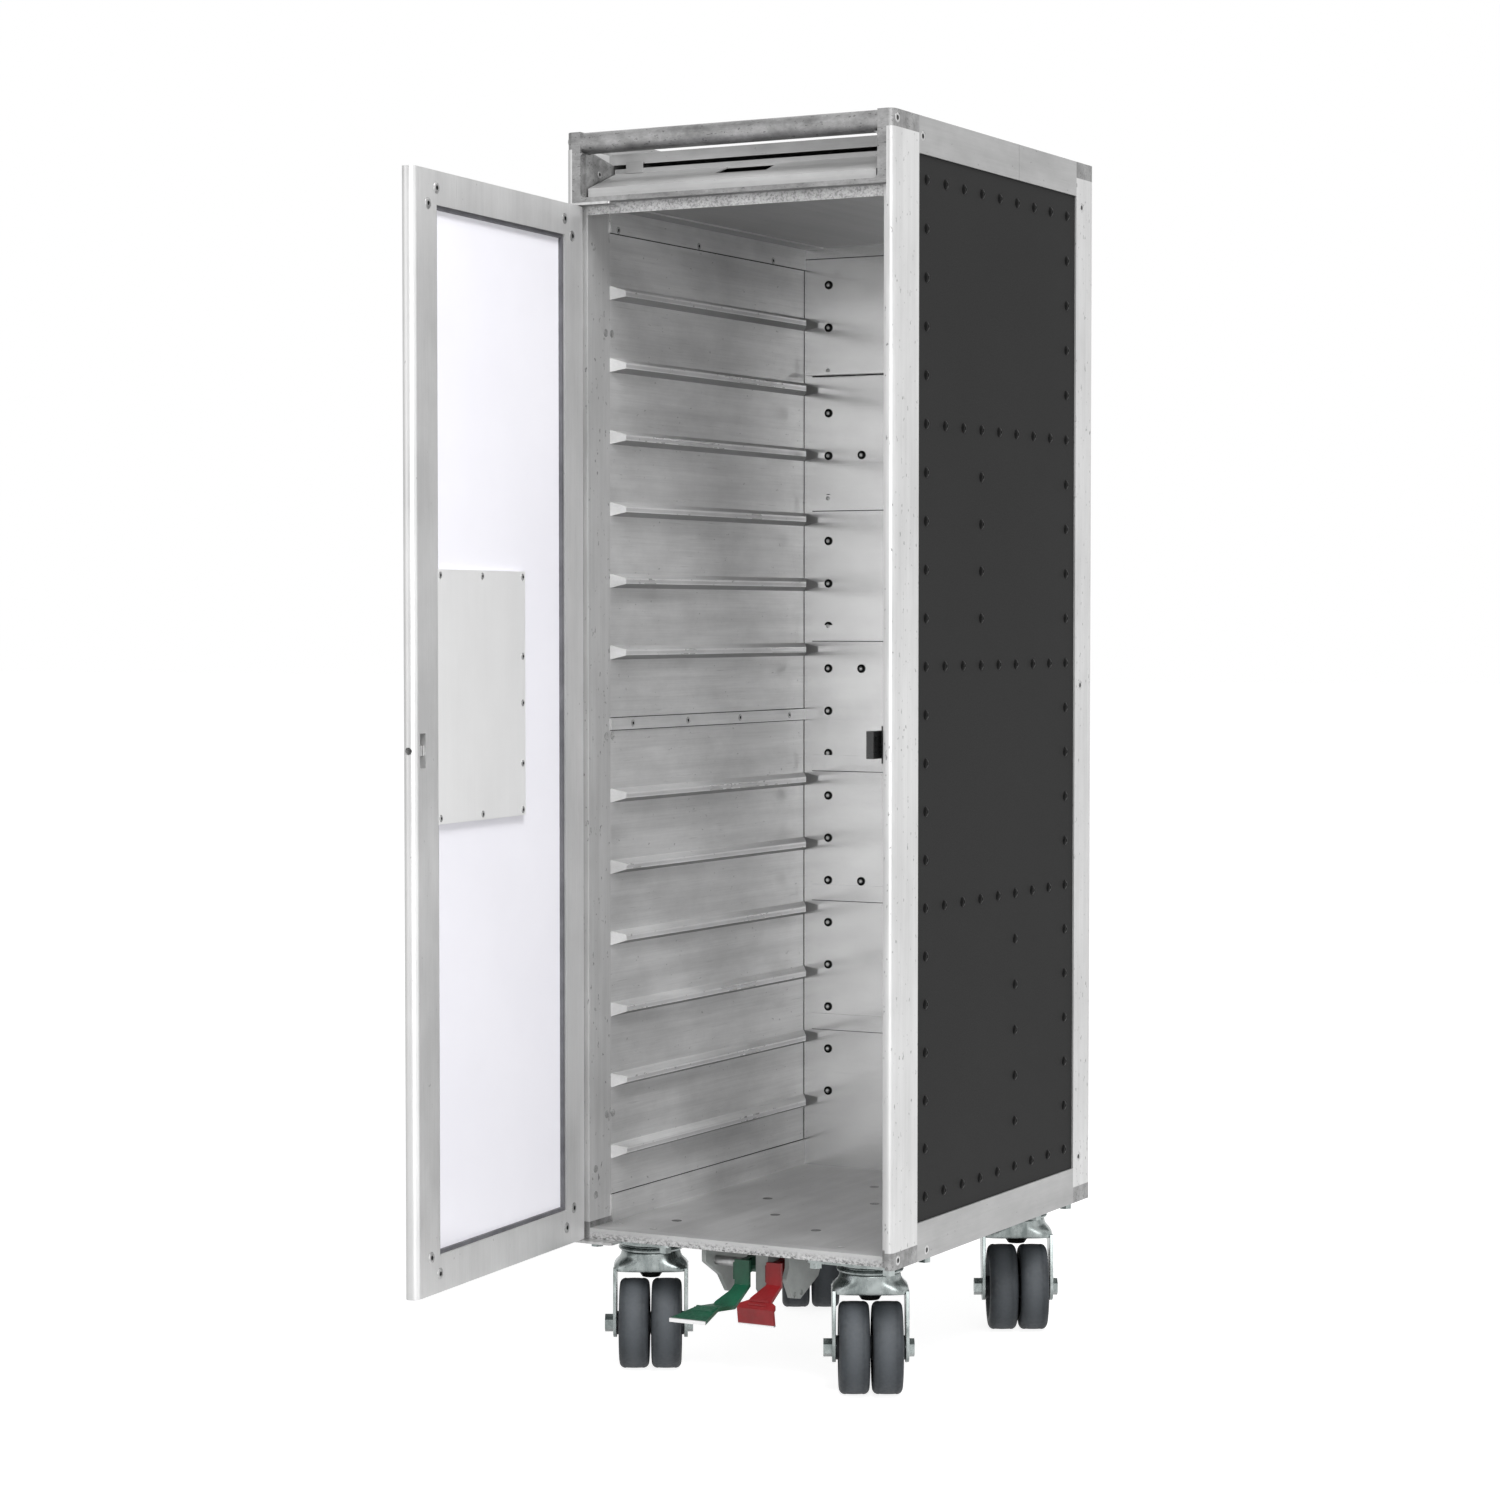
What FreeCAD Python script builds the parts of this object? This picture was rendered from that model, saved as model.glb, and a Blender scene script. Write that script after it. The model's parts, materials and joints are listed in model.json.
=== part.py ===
import FreeCAD, Part
import math
import os

# Half-size airline galley cart, millimetres, +Z up.
# Origin: on the floor, under the middle of the cabinet. +X is to the right and -Y is the door side.

V = FreeCAD.Vector
UP = V(0, 0, 1)

# ---- cabinet envelope ----
cart_width = 301.0
cart_depth = 405.0
cart_height = 1030.0

# ---- walls ----
wall = 14.0
skin = 1.2
panel_recess = 1.5
extrusion = 2.0
liner = 0.8
rear_wall = 6.5
front_post_side = 47.0
rear_post_side = 40.0
rear_post_back = 27.0
bottom_rail = 31.2
top_rail = 30.0
casting = 14.0
corner_round = 6.5
rail_seam = 0.4
rail_seam_y = 39.3

# ---- door frame opening ----
lip = 6.1
door_recess = 12.0
seat_gap = 0.4
bezel_height = 58.0
sill_height = 8.8
sheet = 1.2

# ---- runners pressed into the liners ----
runner_count = 13
joint_index = 6
runner_drop = 70.0
runner_rise = 59.6
runner_reach = 8.5
runner_base = 12.0
runner_nose = 5.0
runner_taper = 12.0
joint_strip_height = 10.0
strip_thickness = 1.5
kick_height = 23.0
angle_leg = 20.0

# ---- rear wall straps ----
strap_count = 5
strap_drop = 158.0
strap_height = 14.6
ledge_depth = 16.0
ledge_drop = 46.0
ledge_thickness = 2.5

# ---- handle, top deck and dry ice tray ----
bar_height = 17.5
bar_depth = 17.0
bar_round = 7.5
handle_lip = 4.0
roof_flange = 9.0
slide_strip = 12.0
handle_opening_round = 4.0
cheek_sheet = 2.0
deck_below_top = 13.0
deck_flange = 9.0
deck_front = 50.5
tray_front = 6.0
tray_side_gap = 4.0
tray_height = 28.0
tray_lip = 7.7
tray_rise = 24.0
tray_tab_height = 33.5
tray_sheet = 1.0
tray_rear_gap = 6.0
tray_side_height = 22.0
finger_slot_width = 47.0
finger_slot_x = -1.5
finger_slot_run = 20.0
tab_width = 16.0
tab_x = -113.0

# ---- door ----
door_thickness = 11.6
door_bottom_gap = 0.3
door_top_gap = 0.5
door_short = 15.0
door_open = 85.0
stile_width = 31.3
high_rail = 26.0
low_rail = 29.0
panel_thickness = 5.0
panel_inset = 4.5
panel_grip = 6.0
door_skin = 0.8
gasket = 3.0
hinge_plate = 2.0
hinge_plate_length = 42.0
hinge_plate_seat = 4.0
hinge_pin_radius = 3.0
hinge_pin_length = 26.0
run_gap = 0.05
fit_gap = 0.3

# ---- latch ----
cover_width = 146.0
cover_height = 195.5
cover_bottom = 471.6
cover_rise = 3.6
cover_sheet = 1.5
cup_from_edge = 60.0
cup_width = 80.0
cup_height = 100.0
cup_bottom = 520.0
cup_flange = 8.0
cup_sheet = 1.0
paddle_height = 72.0
paddle_thickness = 2.0
paddle_pin_radius = 1.5
bolt_height = 8.0
bolt_thickness = 1.6
bolt_length = 37.0
bolt_z = 529.0
bolt_travel = 9.0
slot_width = 8.6
slot_height = 26.5
slot_from_nose = 6.8
slot_depth = 9.0
keeper_blade = 6.4
keeper_height = 22.0
keeper_reach = 8.0
keeper_base = 20.0
keeper_eye = 4.6
keeper_eye_height = 13.0

# ---- rivets and screws ----
rivet_radius = 4.25
rivet_height = 1.5
rivet_rows = 22
rivet_columns = 9
rivet_margin_z = 19.3
rivet_margin_y = 17.4
rear_margin_top = 23.5
rear_margin_low = 8.8
rear_margin_x = 12.6
rear_column_pitch = 34.2
screw_radius = 4.5
screw_height = 0.3
screw_sink = 0.1

# ---- casters ----
caster_inset_x = 47.3
caster_inset_y = 56.8
caster_turn = 28.5
caster_trail = 10.0
wheel_radius = 37.5
wheel_width = 24.8
wheel_gap = 2.2
wheel_round = 5.0
wheel_dish = 0.72
wheel_facets = 16
crown_facets = 12
hub_radius = 9.8
axle_radius = 4.0
nut_radius = 7.5
nut_height = 7.0
head_height = 4.4
leg_thickness = 3.0
leg_gap = 2.4
leg_end = 12.0
crown_half_depth = 22.0
wheel_clearance = 4.0
crown_height = 19.5
crown_skirt = 6.0
dome_radius = 24.5
cup_radius = 27.5
head_depth = 12.7
plate_side = 80.0
plate_thickness = 3.0
bolt_spacing = 66.0
kingpin_radius = 8.0
stem_radius = 4.0

# ---- brake ----
frame_bar = 2.8
frame_bar_width = 12.0
brake_travel = 2.0
plunger_radius = 11.0
plunger_tip = 7.5
plunger_height = 5.0
pedal_inset = 50.5
pedal_drop = 15.2
pedal_shaft_radius = 4.0
pedal_plate = 3.0
pedal_width = 20.0
pedal_neck = 13.5
pad_width = 33.0
red_pedal_x = 29.5
bracket_plate = 4.0
bracket_left = -40.5
bracket_right = 37.5

# ---- derived places ----
crown_bottom = 2 * wheel_radius + wheel_clearance
crown_shoulder = crown_bottom + crown_skirt
cup_lower = crown_bottom + crown_height
base_height = cup_lower + head_depth
half_width = cart_width / 2
front = -cart_depth / 2
rear = cart_depth / 2
inner_x = half_width - wall
landing = front + door_recess
inner_rear = rear - rear_wall
front_post_end = front + front_post_side
rear_post_start = rear - rear_post_side
lip_x = half_width - lip
post_bottom = base_height + casting
post_top = cart_height - casting
bezel_bottom = cart_height - bezel_height
floor_top = base_height + sill_height
roof_bottom = bezel_bottom
roof_top = roof_bottom + sheet
opening_bottom = bezel_bottom + handle_lip
rail_bottom = cart_height - top_rail
deck_top = cart_height - deck_below_top
runner_top = roof_bottom - runner_drop
runner_pitch = (runner_top - floor_top - runner_rise) / (runner_count - 1)
strap_top = runner_top - strap_drop
ledge_top = runner_top - ledge_drop
tray_half_width = inner_x - tray_side_gap
panel_bottom = base_height + bottom_rail
rivet_row_pitch = (rail_bottom - panel_bottom - 2 * rivet_margin_z) / (rivet_rows - 1)
rivet_column_pitch = (rear_post_start - front_post_end - 2 * rivet_margin_y) / (rivet_columns - 1)
rear_rivet_top = rail_bottom - rear_margin_top
rear_rivet_pitch = (rear_rivet_top - panel_bottom - rear_margin_low) / (rivet_rows - 1)
rear_column_edge = half_width - rear_post_back - rear_margin_x
caster_x = half_width - caster_inset_x
caster_y = rear - caster_inset_y
pedal_pivot_y = front + pedal_inset
pedal_pivot_z = base_height - pedal_drop
liner_end = inner_rear
door_bottom = base_height + door_bottom_gap
door_top = bezel_bottom - hinge_plate - door_top_gap
door_height = door_top - door_bottom
hinge_x = -half_width + door_thickness / 2
hinge_y = front + door_thickness / 2
door_inner = hinge_y + door_thickness / 2
door_reach = cart_width - door_short
door_nose = hinge_x + door_reach - door_thickness / 2
slot_centre = door_nose - hinge_x - slot_from_nose
stile_inner = hinge_x + stile_width
free_inner = door_nose - stile_width
mitre_run = stile_width - door_thickness / 2
joint_z = runner_top - joint_index * runner_pitch
wheel_centre = wheel_gap / 2 + wheel_width / 2
leg_inner = wheel_gap / 2 + wheel_width + leg_gap
leg_outer = leg_inner + leg_thickness


def box(x0, x1, y0, y1, z0, z1):
    return Part.makeBox(x1 - x0, y1 - y0, z1 - z0, V(x0, y0, z0))


def prism(points, z0, z1):
    """Plan outline carried straight up from z0 to z1."""
    corners = [V(x, y, z0) for x, y in points]
    face = Part.Face(Part.makePolygon(corners + corners[:1]))
    return face.extrude(V(0, 0, z1 - z0))


def side_prism(points, x0, x1):
    """Side outline in (y, z) carried across from x0 to x1."""
    corners = [V(x0, y, z) for y, z in points]
    face = Part.Face(Part.makePolygon(corners + corners[:1]))
    return face.extrude(V(x1 - x0, 0, 0))


def front_prism(points, y0, y1):
    """Front outline in (x, z) carried back from y0 to y1."""
    corners = [V(x, y0, z) for x, z in points]
    face = Part.Face(Part.makePolygon(corners + corners[:1]))
    return face.extrude(V(0, y1 - y0, 0))


def rod(radius, start, direction, length):
    return Part.makeCylinder(radius, length, start, direction)


def round_upright(shape, corners, radius):
    """Fillet the upright edges that stand on the given plan corners."""
    edges = []
    for edge in shape.Edges:
        a = edge.Vertexes[0].Point
        b = edge.Vertexes[-1].Point
        upright = abs(a.x - b.x) < 0.01 and abs(a.y - b.y) < 0.01
        if upright and any(abs(a.x - x) < 0.01 and abs(a.y - y) < 0.01 for x, y in corners):
            edges.append(edge)
    return shape.makeFillet(radius, edges)


def mirrored(shape):
    return shape.mirror(V(0, 0, 0), V(1, 0, 0))


def faceted(rings):
    """Closed solid through rings of corners, with a flat face between each pair of edges."""
    outlines = [ring for ring in (rings[0], rings[-1]) if len(ring) > 1]
    for low, high in zip(rings, rings[1:]):
        for i in range(len(low)):
            j = (i + 1) % len(low)
            outlines.append([low[i], low[j], high[0]] if len(high) == 1 else [low[i], low[j], high[j], high[i]])
    shell = Part.makeShell([Part.Face(Part.makePolygon(outline + outline[:1])) for outline in outlines])
    shell.sewShape()
    solid = Part.Solid(shell)
    if solid.Volume < 0:
        solid.reverse()
    return solid


def turned(profile, start, direction, sides):
    """Solid turned about an axis with flat facets; the profile is (distance along, radius) pairs."""
    axis = V(direction)
    across = V(0, 0, 1) if abs(axis.z) < 0.5 else V(1, 0, 0)
    other = axis.cross(across)
    rings = []
    for along, radius in profile:
        ring = []
        for i in range(sides if radius > 0 else 1):
            angle = 2 * math.pi * i / sides
            ring.append(start + axis * along + across * (radius * math.cos(angle)) + other * (radius * math.sin(angle)))
        rings.append(ring)
    return faceted(rings)


def facet_disc(radius, height, centre, direction, sides=6):
    """Low round head with few faces, for the screw and bolt groups."""
    return turned([(0, radius), (height, radius)], centre, direction, sides)


def facet_hole(radius, depth, centre, direction, sides=12):
    """Cutter for a clearance hole whose flats clear the radius."""
    return facet_disc(radius / math.cos(math.pi / sides), depth, centre, direction, sides)


def group(shapes):
    return Part.makeCompound(shapes)


def save(name, shape):
    shape.exportStep("parts/" + name + ".step")
    print(name, len(shape.Solids), round(shape.Volume))


# ---- cabinet frame ----
def front_post_section(z0, z1, with_lip):
    """Front corner extrusion: side leg, door landing, and a lip beside the door."""
    nose = front if with_lip else landing
    step = lip_x if with_lip else inner_x
    points = [(half_width, nose), (step, nose)]
    if with_lip:
        points += [(lip_x, landing), (inner_x, landing)]
    points += [(inner_x, front_post_end), (half_width, front_post_end)]
    radius = corner_round - 1.0 if with_lip else corner_round - 2.5
    return round_upright(prism(points, z0, z1), [(half_width, nose)], min(radius, lip - 0.5))


def front_posts():
    right = front_post_section(post_bottom, post_top, True)
    low = mirrored(front_post_section(post_bottom, bezel_bottom, False))
    high = mirrored(front_post_section(bezel_bottom, post_top, True))
    t = extrusion
    hollow = box(inner_x + t, half_width - t, landing + t, front_post_end - t, post_bottom, post_top)
    left = low.fuse(high).removeSplitter()
    return left.cut(mirrored(hollow)), right.cut(hollow)


def rear_post_section(z0, z1):
    leg = inner_x + liner
    back = inner_rear + liner
    points = [
        (half_width, rear_post_start),
        (half_width, rear),
        (half_width - rear_post_back, rear),
        (half_width - rear_post_back, back),
        (leg, back),
        (leg, rear_post_start),
    ]
    return round_upright(prism(points, z0, z1), [(half_width, rear)], corner_round)


def rear_posts():
    t = extrusion
    x0 = inner_x + liner + t
    hollow = box(x0, half_width - t, rear_post_start + t, rear - t, post_bottom, post_top)
    right = rear_post_section(post_bottom, post_top).cut(hollow)
    return group([right, mirrored(right)])


def corner_castings():
    """Eight cast corner pieces that cap the posts, four at the foot and four at the top."""
    foot_right = front_post_section(base_height, post_bottom, True)
    foot_left = mirrored(front_post_section(base_height, post_bottom, False))
    cap = box(inner_x, half_width, front, front_post_end, post_top, cart_height)
    cap = round_upright(cap, [(half_width, front)], corner_round)
    foot_rear = rear_post_section(base_height, post_bottom)
    cap_rear = rear_post_section(post_top, cart_height)
    solids = [foot_right, foot_left, cap, mirrored(cap)]
    for corner in (foot_rear, cap_rear):
        solids += [corner, mirrored(corner)]
    return group(solids)


def rails():
    """Edge rails of the side and rear walls; the top side rails are in two lengths."""
    y0 = front_post_end
    y1 = rear_post_start
    seam = rail_seam / 2
    low = box(inner_x + liner, half_width, y0, y1, base_height, base_height + bottom_rail)
    high_front = box(inner_x, half_width, y0, rail_seam_y - seam, rail_bottom, cart_height)
    high_rear = box(inner_x, half_width, rail_seam_y + seam, y1, rail_bottom, cart_height)
    solids = []
    t = extrusion
    for rail in (low, high_front, high_rear):
        b = rail.BoundBox
        rail = rail.cut(box(b.XMin + t, b.XMax - t, b.YMin, b.YMax, b.ZMin + t, b.ZMax - t))
        solids += [rail, mirrored(rail)]
    x = half_width - rear_post_back
    y2 = inner_rear + liner
    solids.append(box(-x, x, y2, rear, base_height, base_height + bottom_rail))
    solids.append(box(-x, x, y2, rear, rail_bottom, cart_height))
    return group(solids)


# ---- panels, cores and liners ----
def side_panels():
    x1 = half_width - panel_recess
    z0 = base_height + bottom_rail
    right = box(x1 - skin, x1, front_post_end, rear_post_start, z0, rail_bottom)
    return group([right, mirrored(right)])


def rear_panel():
    x = half_width - rear_post_back
    y1 = rear - panel_recess
    return box(-x, x, y1 - skin, y1, base_height + bottom_rail, rail_bottom)


def wall_cores():
    """Insulation between the outer panels and the liners."""
    z0 = base_height + bottom_rail
    z1 = rail_bottom
    x0 = inner_x + liner
    x1 = half_width - panel_recess - skin
    side = box(x0, x1, front_post_end, rear_post_start, z0, z1)
    x = half_width - rear_post_back
    back = box(-x, x, inner_rear + liner, rear - panel_recess - skin, z0, z1)
    return group([side, mirrored(side), back])


def bead(z, inset):
    """Pressed runner: a long tapered bead that stands in from the liner."""
    y0 = front_post_end + inset
    y1 = liner_end - inset
    half = runner_base / 2 - inset
    nose = runner_nose / 2 - inset / 2
    root_x = inner_x + (liner if inset else 0)
    tip_x = inner_x - runner_reach + inset
    root = [(y0, z - half), (y1, z - half), (y1, z + half), (y0, z + half)]
    y2 = y0 + runner_taper
    y3 = y1 - runner_taper
    tip = [(y2, z - nose), (y3, z - nose), (y3, z + nose), (y2, z + nose)]
    return faceted([[V(x, y, h) for y, h in outline] for x, outline in ((root_x, root), (tip_x, tip))])


def liner_half(z0, z1):
    """One aluminium liner sheet with the runners pressed into it, hollow from behind."""
    shape = box(inner_x, inner_x + liner, front_post_end, liner_end, z0, z1)
    heights = [runner_top - i * runner_pitch for i in range(runner_count) if i != joint_index]
    for z in heights:
        if z0 < z < z1:
            shape = shape.fuse(bead(z, 0.0))
    for z in heights:
        if z0 < z < z1:
            shape = shape.cut(bead(z, liner))
    shape = shape.removeSplitter()
    return group([shape, mirrored(shape)])


def joint_strips():
    x1 = inner_x
    half = joint_strip_height / 2
    strip = box(x1 - strip_thickness, x1, front_post_end, liner_end, joint_z - half, joint_z + half)
    return group([strip, mirrored(strip)])


def corner_angles():
    """Angles under the roof and flat kick strips over the floor, along both side liners."""
    x1 = inner_x
    y0 = front_post_end
    kick = box(x1 - strip_thickness, x1, y0, liner_end, floor_top, floor_top + kick_height)
    upright = box(x1 - strip_thickness, x1, y0, liner_end, roof_bottom - angle_leg, roof_bottom)
    flat = box(x1 - angle_leg, x1, y0, liner_end, roof_bottom - strip_thickness, roof_bottom)
    angle = upright.fuse(flat).removeSplitter()
    return group([kick, mirrored(kick), angle, mirrored(angle)])


def rear_liner():
    return box(-inner_x, inner_x, liner_end, liner_end + liner, floor_top, deck_top - sheet)


def rear_straps():
    """Flat ties across the rear wall above every second runner, and one ledge angle above them."""
    y1 = liner_end
    x = inner_x - runner_reach - fit_gap
    straps = []
    for i in range(strap_count):
        top = strap_top - 2 * i * runner_pitch
        straps.append(box(-x, x, y1 - strip_thickness, y1, top - strap_height, top))
    flat = box(-x, x, y1 - ledge_depth, y1, ledge_top - ledge_thickness, ledge_top)
    upright = box(-x, x, y1 - strip_thickness, y1, ledge_top, ledge_top + strap_height)
    straps.append(flat.fuse(upright).removeSplitter())
    return group(straps)


# ---- floor, base and roof ----
def caster_places():
    return [(sx * caster_x, sy * caster_y) for sy in (-1, 1) for sx in (-1, 1)]


def sill():
    y1 = landing + door_recess
    bar = box(-inner_x, inner_x, landing, y1, base_height, floor_top)
    hollow = box(-inner_x, inner_x, landing + sheet, y1 - sheet, base_height + sheet, floor_top - sheet)
    return bar.cut(hollow)


def floor_pan():
    return box(-inner_x, inner_x, landing + door_recess, liner_end, floor_top - sheet, floor_top)


def base_plate():
    shape = box(-inner_x, inner_x, landing + door_recess, liner_end, base_height, base_height + sheet)
    for x, y in caster_places():
        shape = shape.cut(facet_hole(stem_radius + 2.0, sheet + 2, V(x, y, base_height - 1), UP))
    return shape


def roof_pan():
    """Roof sheet with a front flange, and two strips on it that the tray slides on."""
    shape = box(-inner_x, inner_x, landing, liner_end, roof_bottom, roof_top)
    shape = shape.fuse(box(-inner_x, inner_x, landing, landing + sheet, roof_bottom - roof_flange, roof_top))
    for x in (-tray_half_width, tray_half_width - slide_strip):
        shape = shape.fuse(box(x, x + slide_strip, landing, liner_end, roof_top, opening_bottom))
    return shape.removeSplitter()


def top_deck():
    y0 = front + deck_front
    flat = box(-inner_x, inner_x, y0, liner_end + liner, deck_top - sheet, deck_top)
    flange = box(-inner_x, inner_x, y0, y0 + sheet, deck_top - deck_flange, deck_top)
    return flat.fuse(flange).removeSplitter()


def handle_frame():
    """Cast front frame: bezel and cheeks round the tray opening, with the grab bar along its top."""
    z0 = opening_bottom
    z1 = cart_height - bar_height
    bezel = box(-lip_x, lip_x, front, landing, bezel_bottom, post_top)
    opening = box(-inner_x, inner_x, front, landing, z0, z1)
    across = [e for e in opening.Edges if abs(e.Vertexes[0].Y - e.Vertexes[-1].Y) > door_recess / 2]
    bezel = bezel.cut(opening.makeFillet(handle_opening_round, across))
    bezel = bezel.cut(box(-inner_x, inner_x, front, landing, z1, post_top))
    bar = box(-inner_x, inner_x, front, front + bar_depth, z1, cart_height)
    long_edges = [e for e in bar.Edges if abs(e.Vertexes[0].X - e.Vertexes[-1].X) > cart_width / 2]
    shape = bezel.fuse(bar.makeFillet(bar_round, long_edges))
    y0 = front + tray_front
    y1 = front + deck_front
    outline = [(y0, z0), (y0, post_top), (y1, deck_top - deck_flange), (y1, opening_bottom + tray_rise - tray_lip)]
    cheek = side_prism(outline, inner_x - cheek_sheet, inner_x)
    return shape.fuse(cheek).fuse(mirrored(cheek)).removeSplitter()


def ice_tray():
    """Dry ice tray: a shallow pan with a sloped front, a finger slot and a stop tab."""
    w = tray_half_width
    y0 = front + tray_front
    y1 = front + deck_front - fit_gap
    y2 = liner_end - tray_rear_gap
    z0 = opening_bottom + fit_gap
    t = tray_sheet
    lip_z = z0 + tray_lip
    rise_z = z0 + tray_rise
    top_z = z0 + tray_height
    outline = [
        (y0, z0),
        (y2, z0),
        (y2, z0 + tray_side_height),
        (y2 - t, z0 + tray_side_height),
        (y2 - t, z0 + t),
        (y0 + t, z0 + t),
        (y0 + t, lip_z - t / 2),
        (y1, rise_z - t),
        (y1, top_z),
        (y1 - t, top_z),
        (y1 - t, rise_z),
        (y0, lip_z),
    ]
    shape = side_prism(outline, -w, w)
    cheek = [
        (y1 - 2 * t, z0),
        (y2, z0),
        (y2, z0 + tray_side_height),
        (y1 - 2 * t, z0 + tray_side_height),
    ]
    for x in (-w, w - t):
        shape = shape.fuse(side_prism(cheek, x, x + t))
    x0 = finger_slot_x - finger_slot_width / 2
    y3 = y1 - 2 * t
    slot = box(x0, x0 + finger_slot_width, y3 - finger_slot_run, y3, z0 + 2 * t, rise_z + t)
    tab = box(tab_x - tab_width / 2, tab_x + tab_width / 2, y1 - 2 * t, y1 - t, rise_z, z0 + tray_tab_height)
    return shape.cut(slot).fuse(tab).removeSplitter()


# ---- door, built shut and then swung open about its hinge pin ----
def swing(shape):
    turned = shape.copy()
    turned.rotate(V(hinge_x, hinge_y, 0), UP, -door_open)
    return turned


def panel_pocket():
    """The space that the door panel takes in the groove of its frame."""
    y1 = door_inner - panel_inset
    x0 = stile_inner - panel_grip
    x1 = free_inner + panel_grip
    z0 = door_bottom + low_rail - panel_grip
    z1 = door_top - high_rail + panel_grip
    return box(x0, x1, y1 - panel_thickness, y1, z0, z1)


def stile(nose_x, inner):
    """Door stile: flat leg with mitred ends and a rounded outer edge."""
    side = 1 if inner > nose_x else -1
    outline = [
        (nose_x, door_bottom),
        (inner - side * mitre_run, door_bottom),
        (inner, door_bottom + low_rail),
        (inner, door_top - high_rail),
        (inner - side * mitre_run, door_top),
        (nose_x, door_top),
    ]
    shape = front_prism(outline, front, door_inner)
    edge = rod(door_thickness / 2, V(nose_x, hinge_y, door_bottom), UP, door_height)
    return shape.fuse(edge).removeSplitter().cut(panel_pocket())


def door_hinge_stile():
    shape = stile(hinge_x, stile_inner)
    depth = hinge_pin_length + 2
    for z in (door_bottom - 1, door_top + 1 - depth):
        shape = shape.cut(rod(hinge_pin_radius + run_gap, V(hinge_x, hinge_y, z), UP, depth))
    return shape


def door_free_stile():
    shape = stile(door_nose, free_inner)
    x = hinge_x + slot_centre
    half = slot_width / 2
    z0 = bolt_z - slot_height / 2
    slot = box(x - half, x + half, door_inner - slot_depth, door_inner + 1, z0, z0 + slot_height)
    channel = latch_bolt_shape(fit_gap)
    channel = channel.fuse(latch_bolt_shape(fit_gap).translated(V(-bolt_travel, 0, 0)))
    peep = rod(door_thickness / 4, V(x, hinge_y, bolt_z), V(1, 0, 0), stile_width)
    return shape.cut(slot).cut(channel).cut(peep)


def door_rails():
    """Top and bottom rails between the stiles, mitred at 45 degrees."""
    rails = []
    for edge, inward, size in ((door_bottom, 1, low_rail), (door_top, -1, high_rail)):
        outline = [
            (stile_inner - mitre_run, edge),
            (stile_inner, edge + inward * size),
            (free_inner, edge + inward * size),
            (free_inner + mitre_run, edge),
        ]
        rails.append(front_prism(outline, front, door_inner).cut(panel_pocket()))
    return group(rails)


def cup_box(grow, y0, y1):
    x1 = free_inner - cup_from_edge + cup_width / 2
    x0 = x1 - cup_width
    return box(x0 - grow, x1 + grow, y0, y1, cup_bottom - grow, cup_bottom + cup_height + grow)


def door_panel():
    """Sandwich panel as three sheets, with one cut-out for the latch cup."""
    whole = panel_pocket().BoundBox
    inner = whole.YMax
    outer = whole.YMin
    layers = []
    for y0, y1 in ((inner - door_skin, inner), (outer + door_skin, inner - door_skin), (outer, outer + door_skin)):
        layer = box(whole.XMin, whole.XMax, y0, y1, whole.ZMin, whole.ZMax)
        layers.append(layer.cut(cup_box(fit_gap, outer - 1, inner + 1)))
    return layers


def door_gasket():
    x0 = stile_inner
    x1 = free_inner
    z0 = door_bottom + low_rail
    z1 = door_top - high_rail
    y0 = door_inner - panel_inset
    ring = box(x0, x1, y0, y0 + gasket, z0, z1)
    ring = ring.cut(box(x0 + gasket, x1 - gasket, y0 - 1, y0 + gasket + 1, z0 + gasket, z1 - gasket))
    gap = box(x1 - 2 * gasket, x1 + 1, y0 - 1, y0 + gasket + 1, cover_bottom - fit_gap, cover_bottom + cover_height + fit_gap)
    return ring.cut(gap)


def latch_cover():
    """Shallow cover over the latch works on the inner face, hollow towards the panel."""
    x1 = free_inner - 1.0
    x0 = x1 - cover_width
    y0 = door_inner - panel_inset
    y1 = y0 + cover_rise
    z1 = cover_bottom + cover_height
    shape = box(x0, x1, y0, y1, cover_bottom, z1)
    rim = 4 * cover_sheet
    hollow = box(x0 + rim, x1 - rim, y0 - 1, y1 - cover_sheet, cover_bottom + rim, z1 - rim)
    return shape.cut(hollow).cut(latch_bolt_shape(fit_gap))


def latch_housing():
    """Pressed cup for the paddle, with a flange on the outer skin and ears for the paddle pin."""
    outer = door_inner - panel_inset - panel_thickness
    floor_y = door_inner - panel_inset + cover_rise - cover_sheet - fit_gap
    cup = cup_box(0.0, outer, floor_y)
    flange = cup_box(cup_flange, outer - cup_sheet, outer)
    hollow = cup_box(-cup_sheet, outer - cup_sheet - 1, floor_y - cup_sheet)
    pin_hole = rod(paddle_pin_radius + run_gap, V(hollow.BoundBox.XMin - cup_sheet, paddle_axis_y(), paddle_axis_z()), V(1, 0, 0), cup_width)
    return cup.fuse(flange).cut(hollow).cut(pin_hole).removeSplitter()


def latch_paddle():
    """Flush paddle that turns on a cross pin near its top edge."""
    space = cup_box(-cup_sheet - fit_gap, 0, 1).BoundBox
    outer = door_inner - panel_inset - panel_thickness
    y0 = outer - cup_sheet
    z1 = space.ZMax - 3 * fit_gap
    plate = box(space.XMin, space.XMax, y0, y0 + paddle_thickness, z1 - paddle_height, z1)
    curl = box(space.XMin, space.XMax, y0, y0 + 2 * paddle_thickness, z1 - paddle_height, z1 - paddle_height + paddle_thickness)
    pin_start = V(space.XMin - fit_gap - cup_sheet, paddle_axis_y(), paddle_axis_z())
    pin = rod(paddle_pin_radius, pin_start, V(1, 0, 0), cup_width)
    return plate.fuse(curl).fuse(pin).removeSplitter()


def paddle_axis_y():
    return door_inner - panel_inset - panel_thickness - cup_sheet + paddle_thickness


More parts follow.
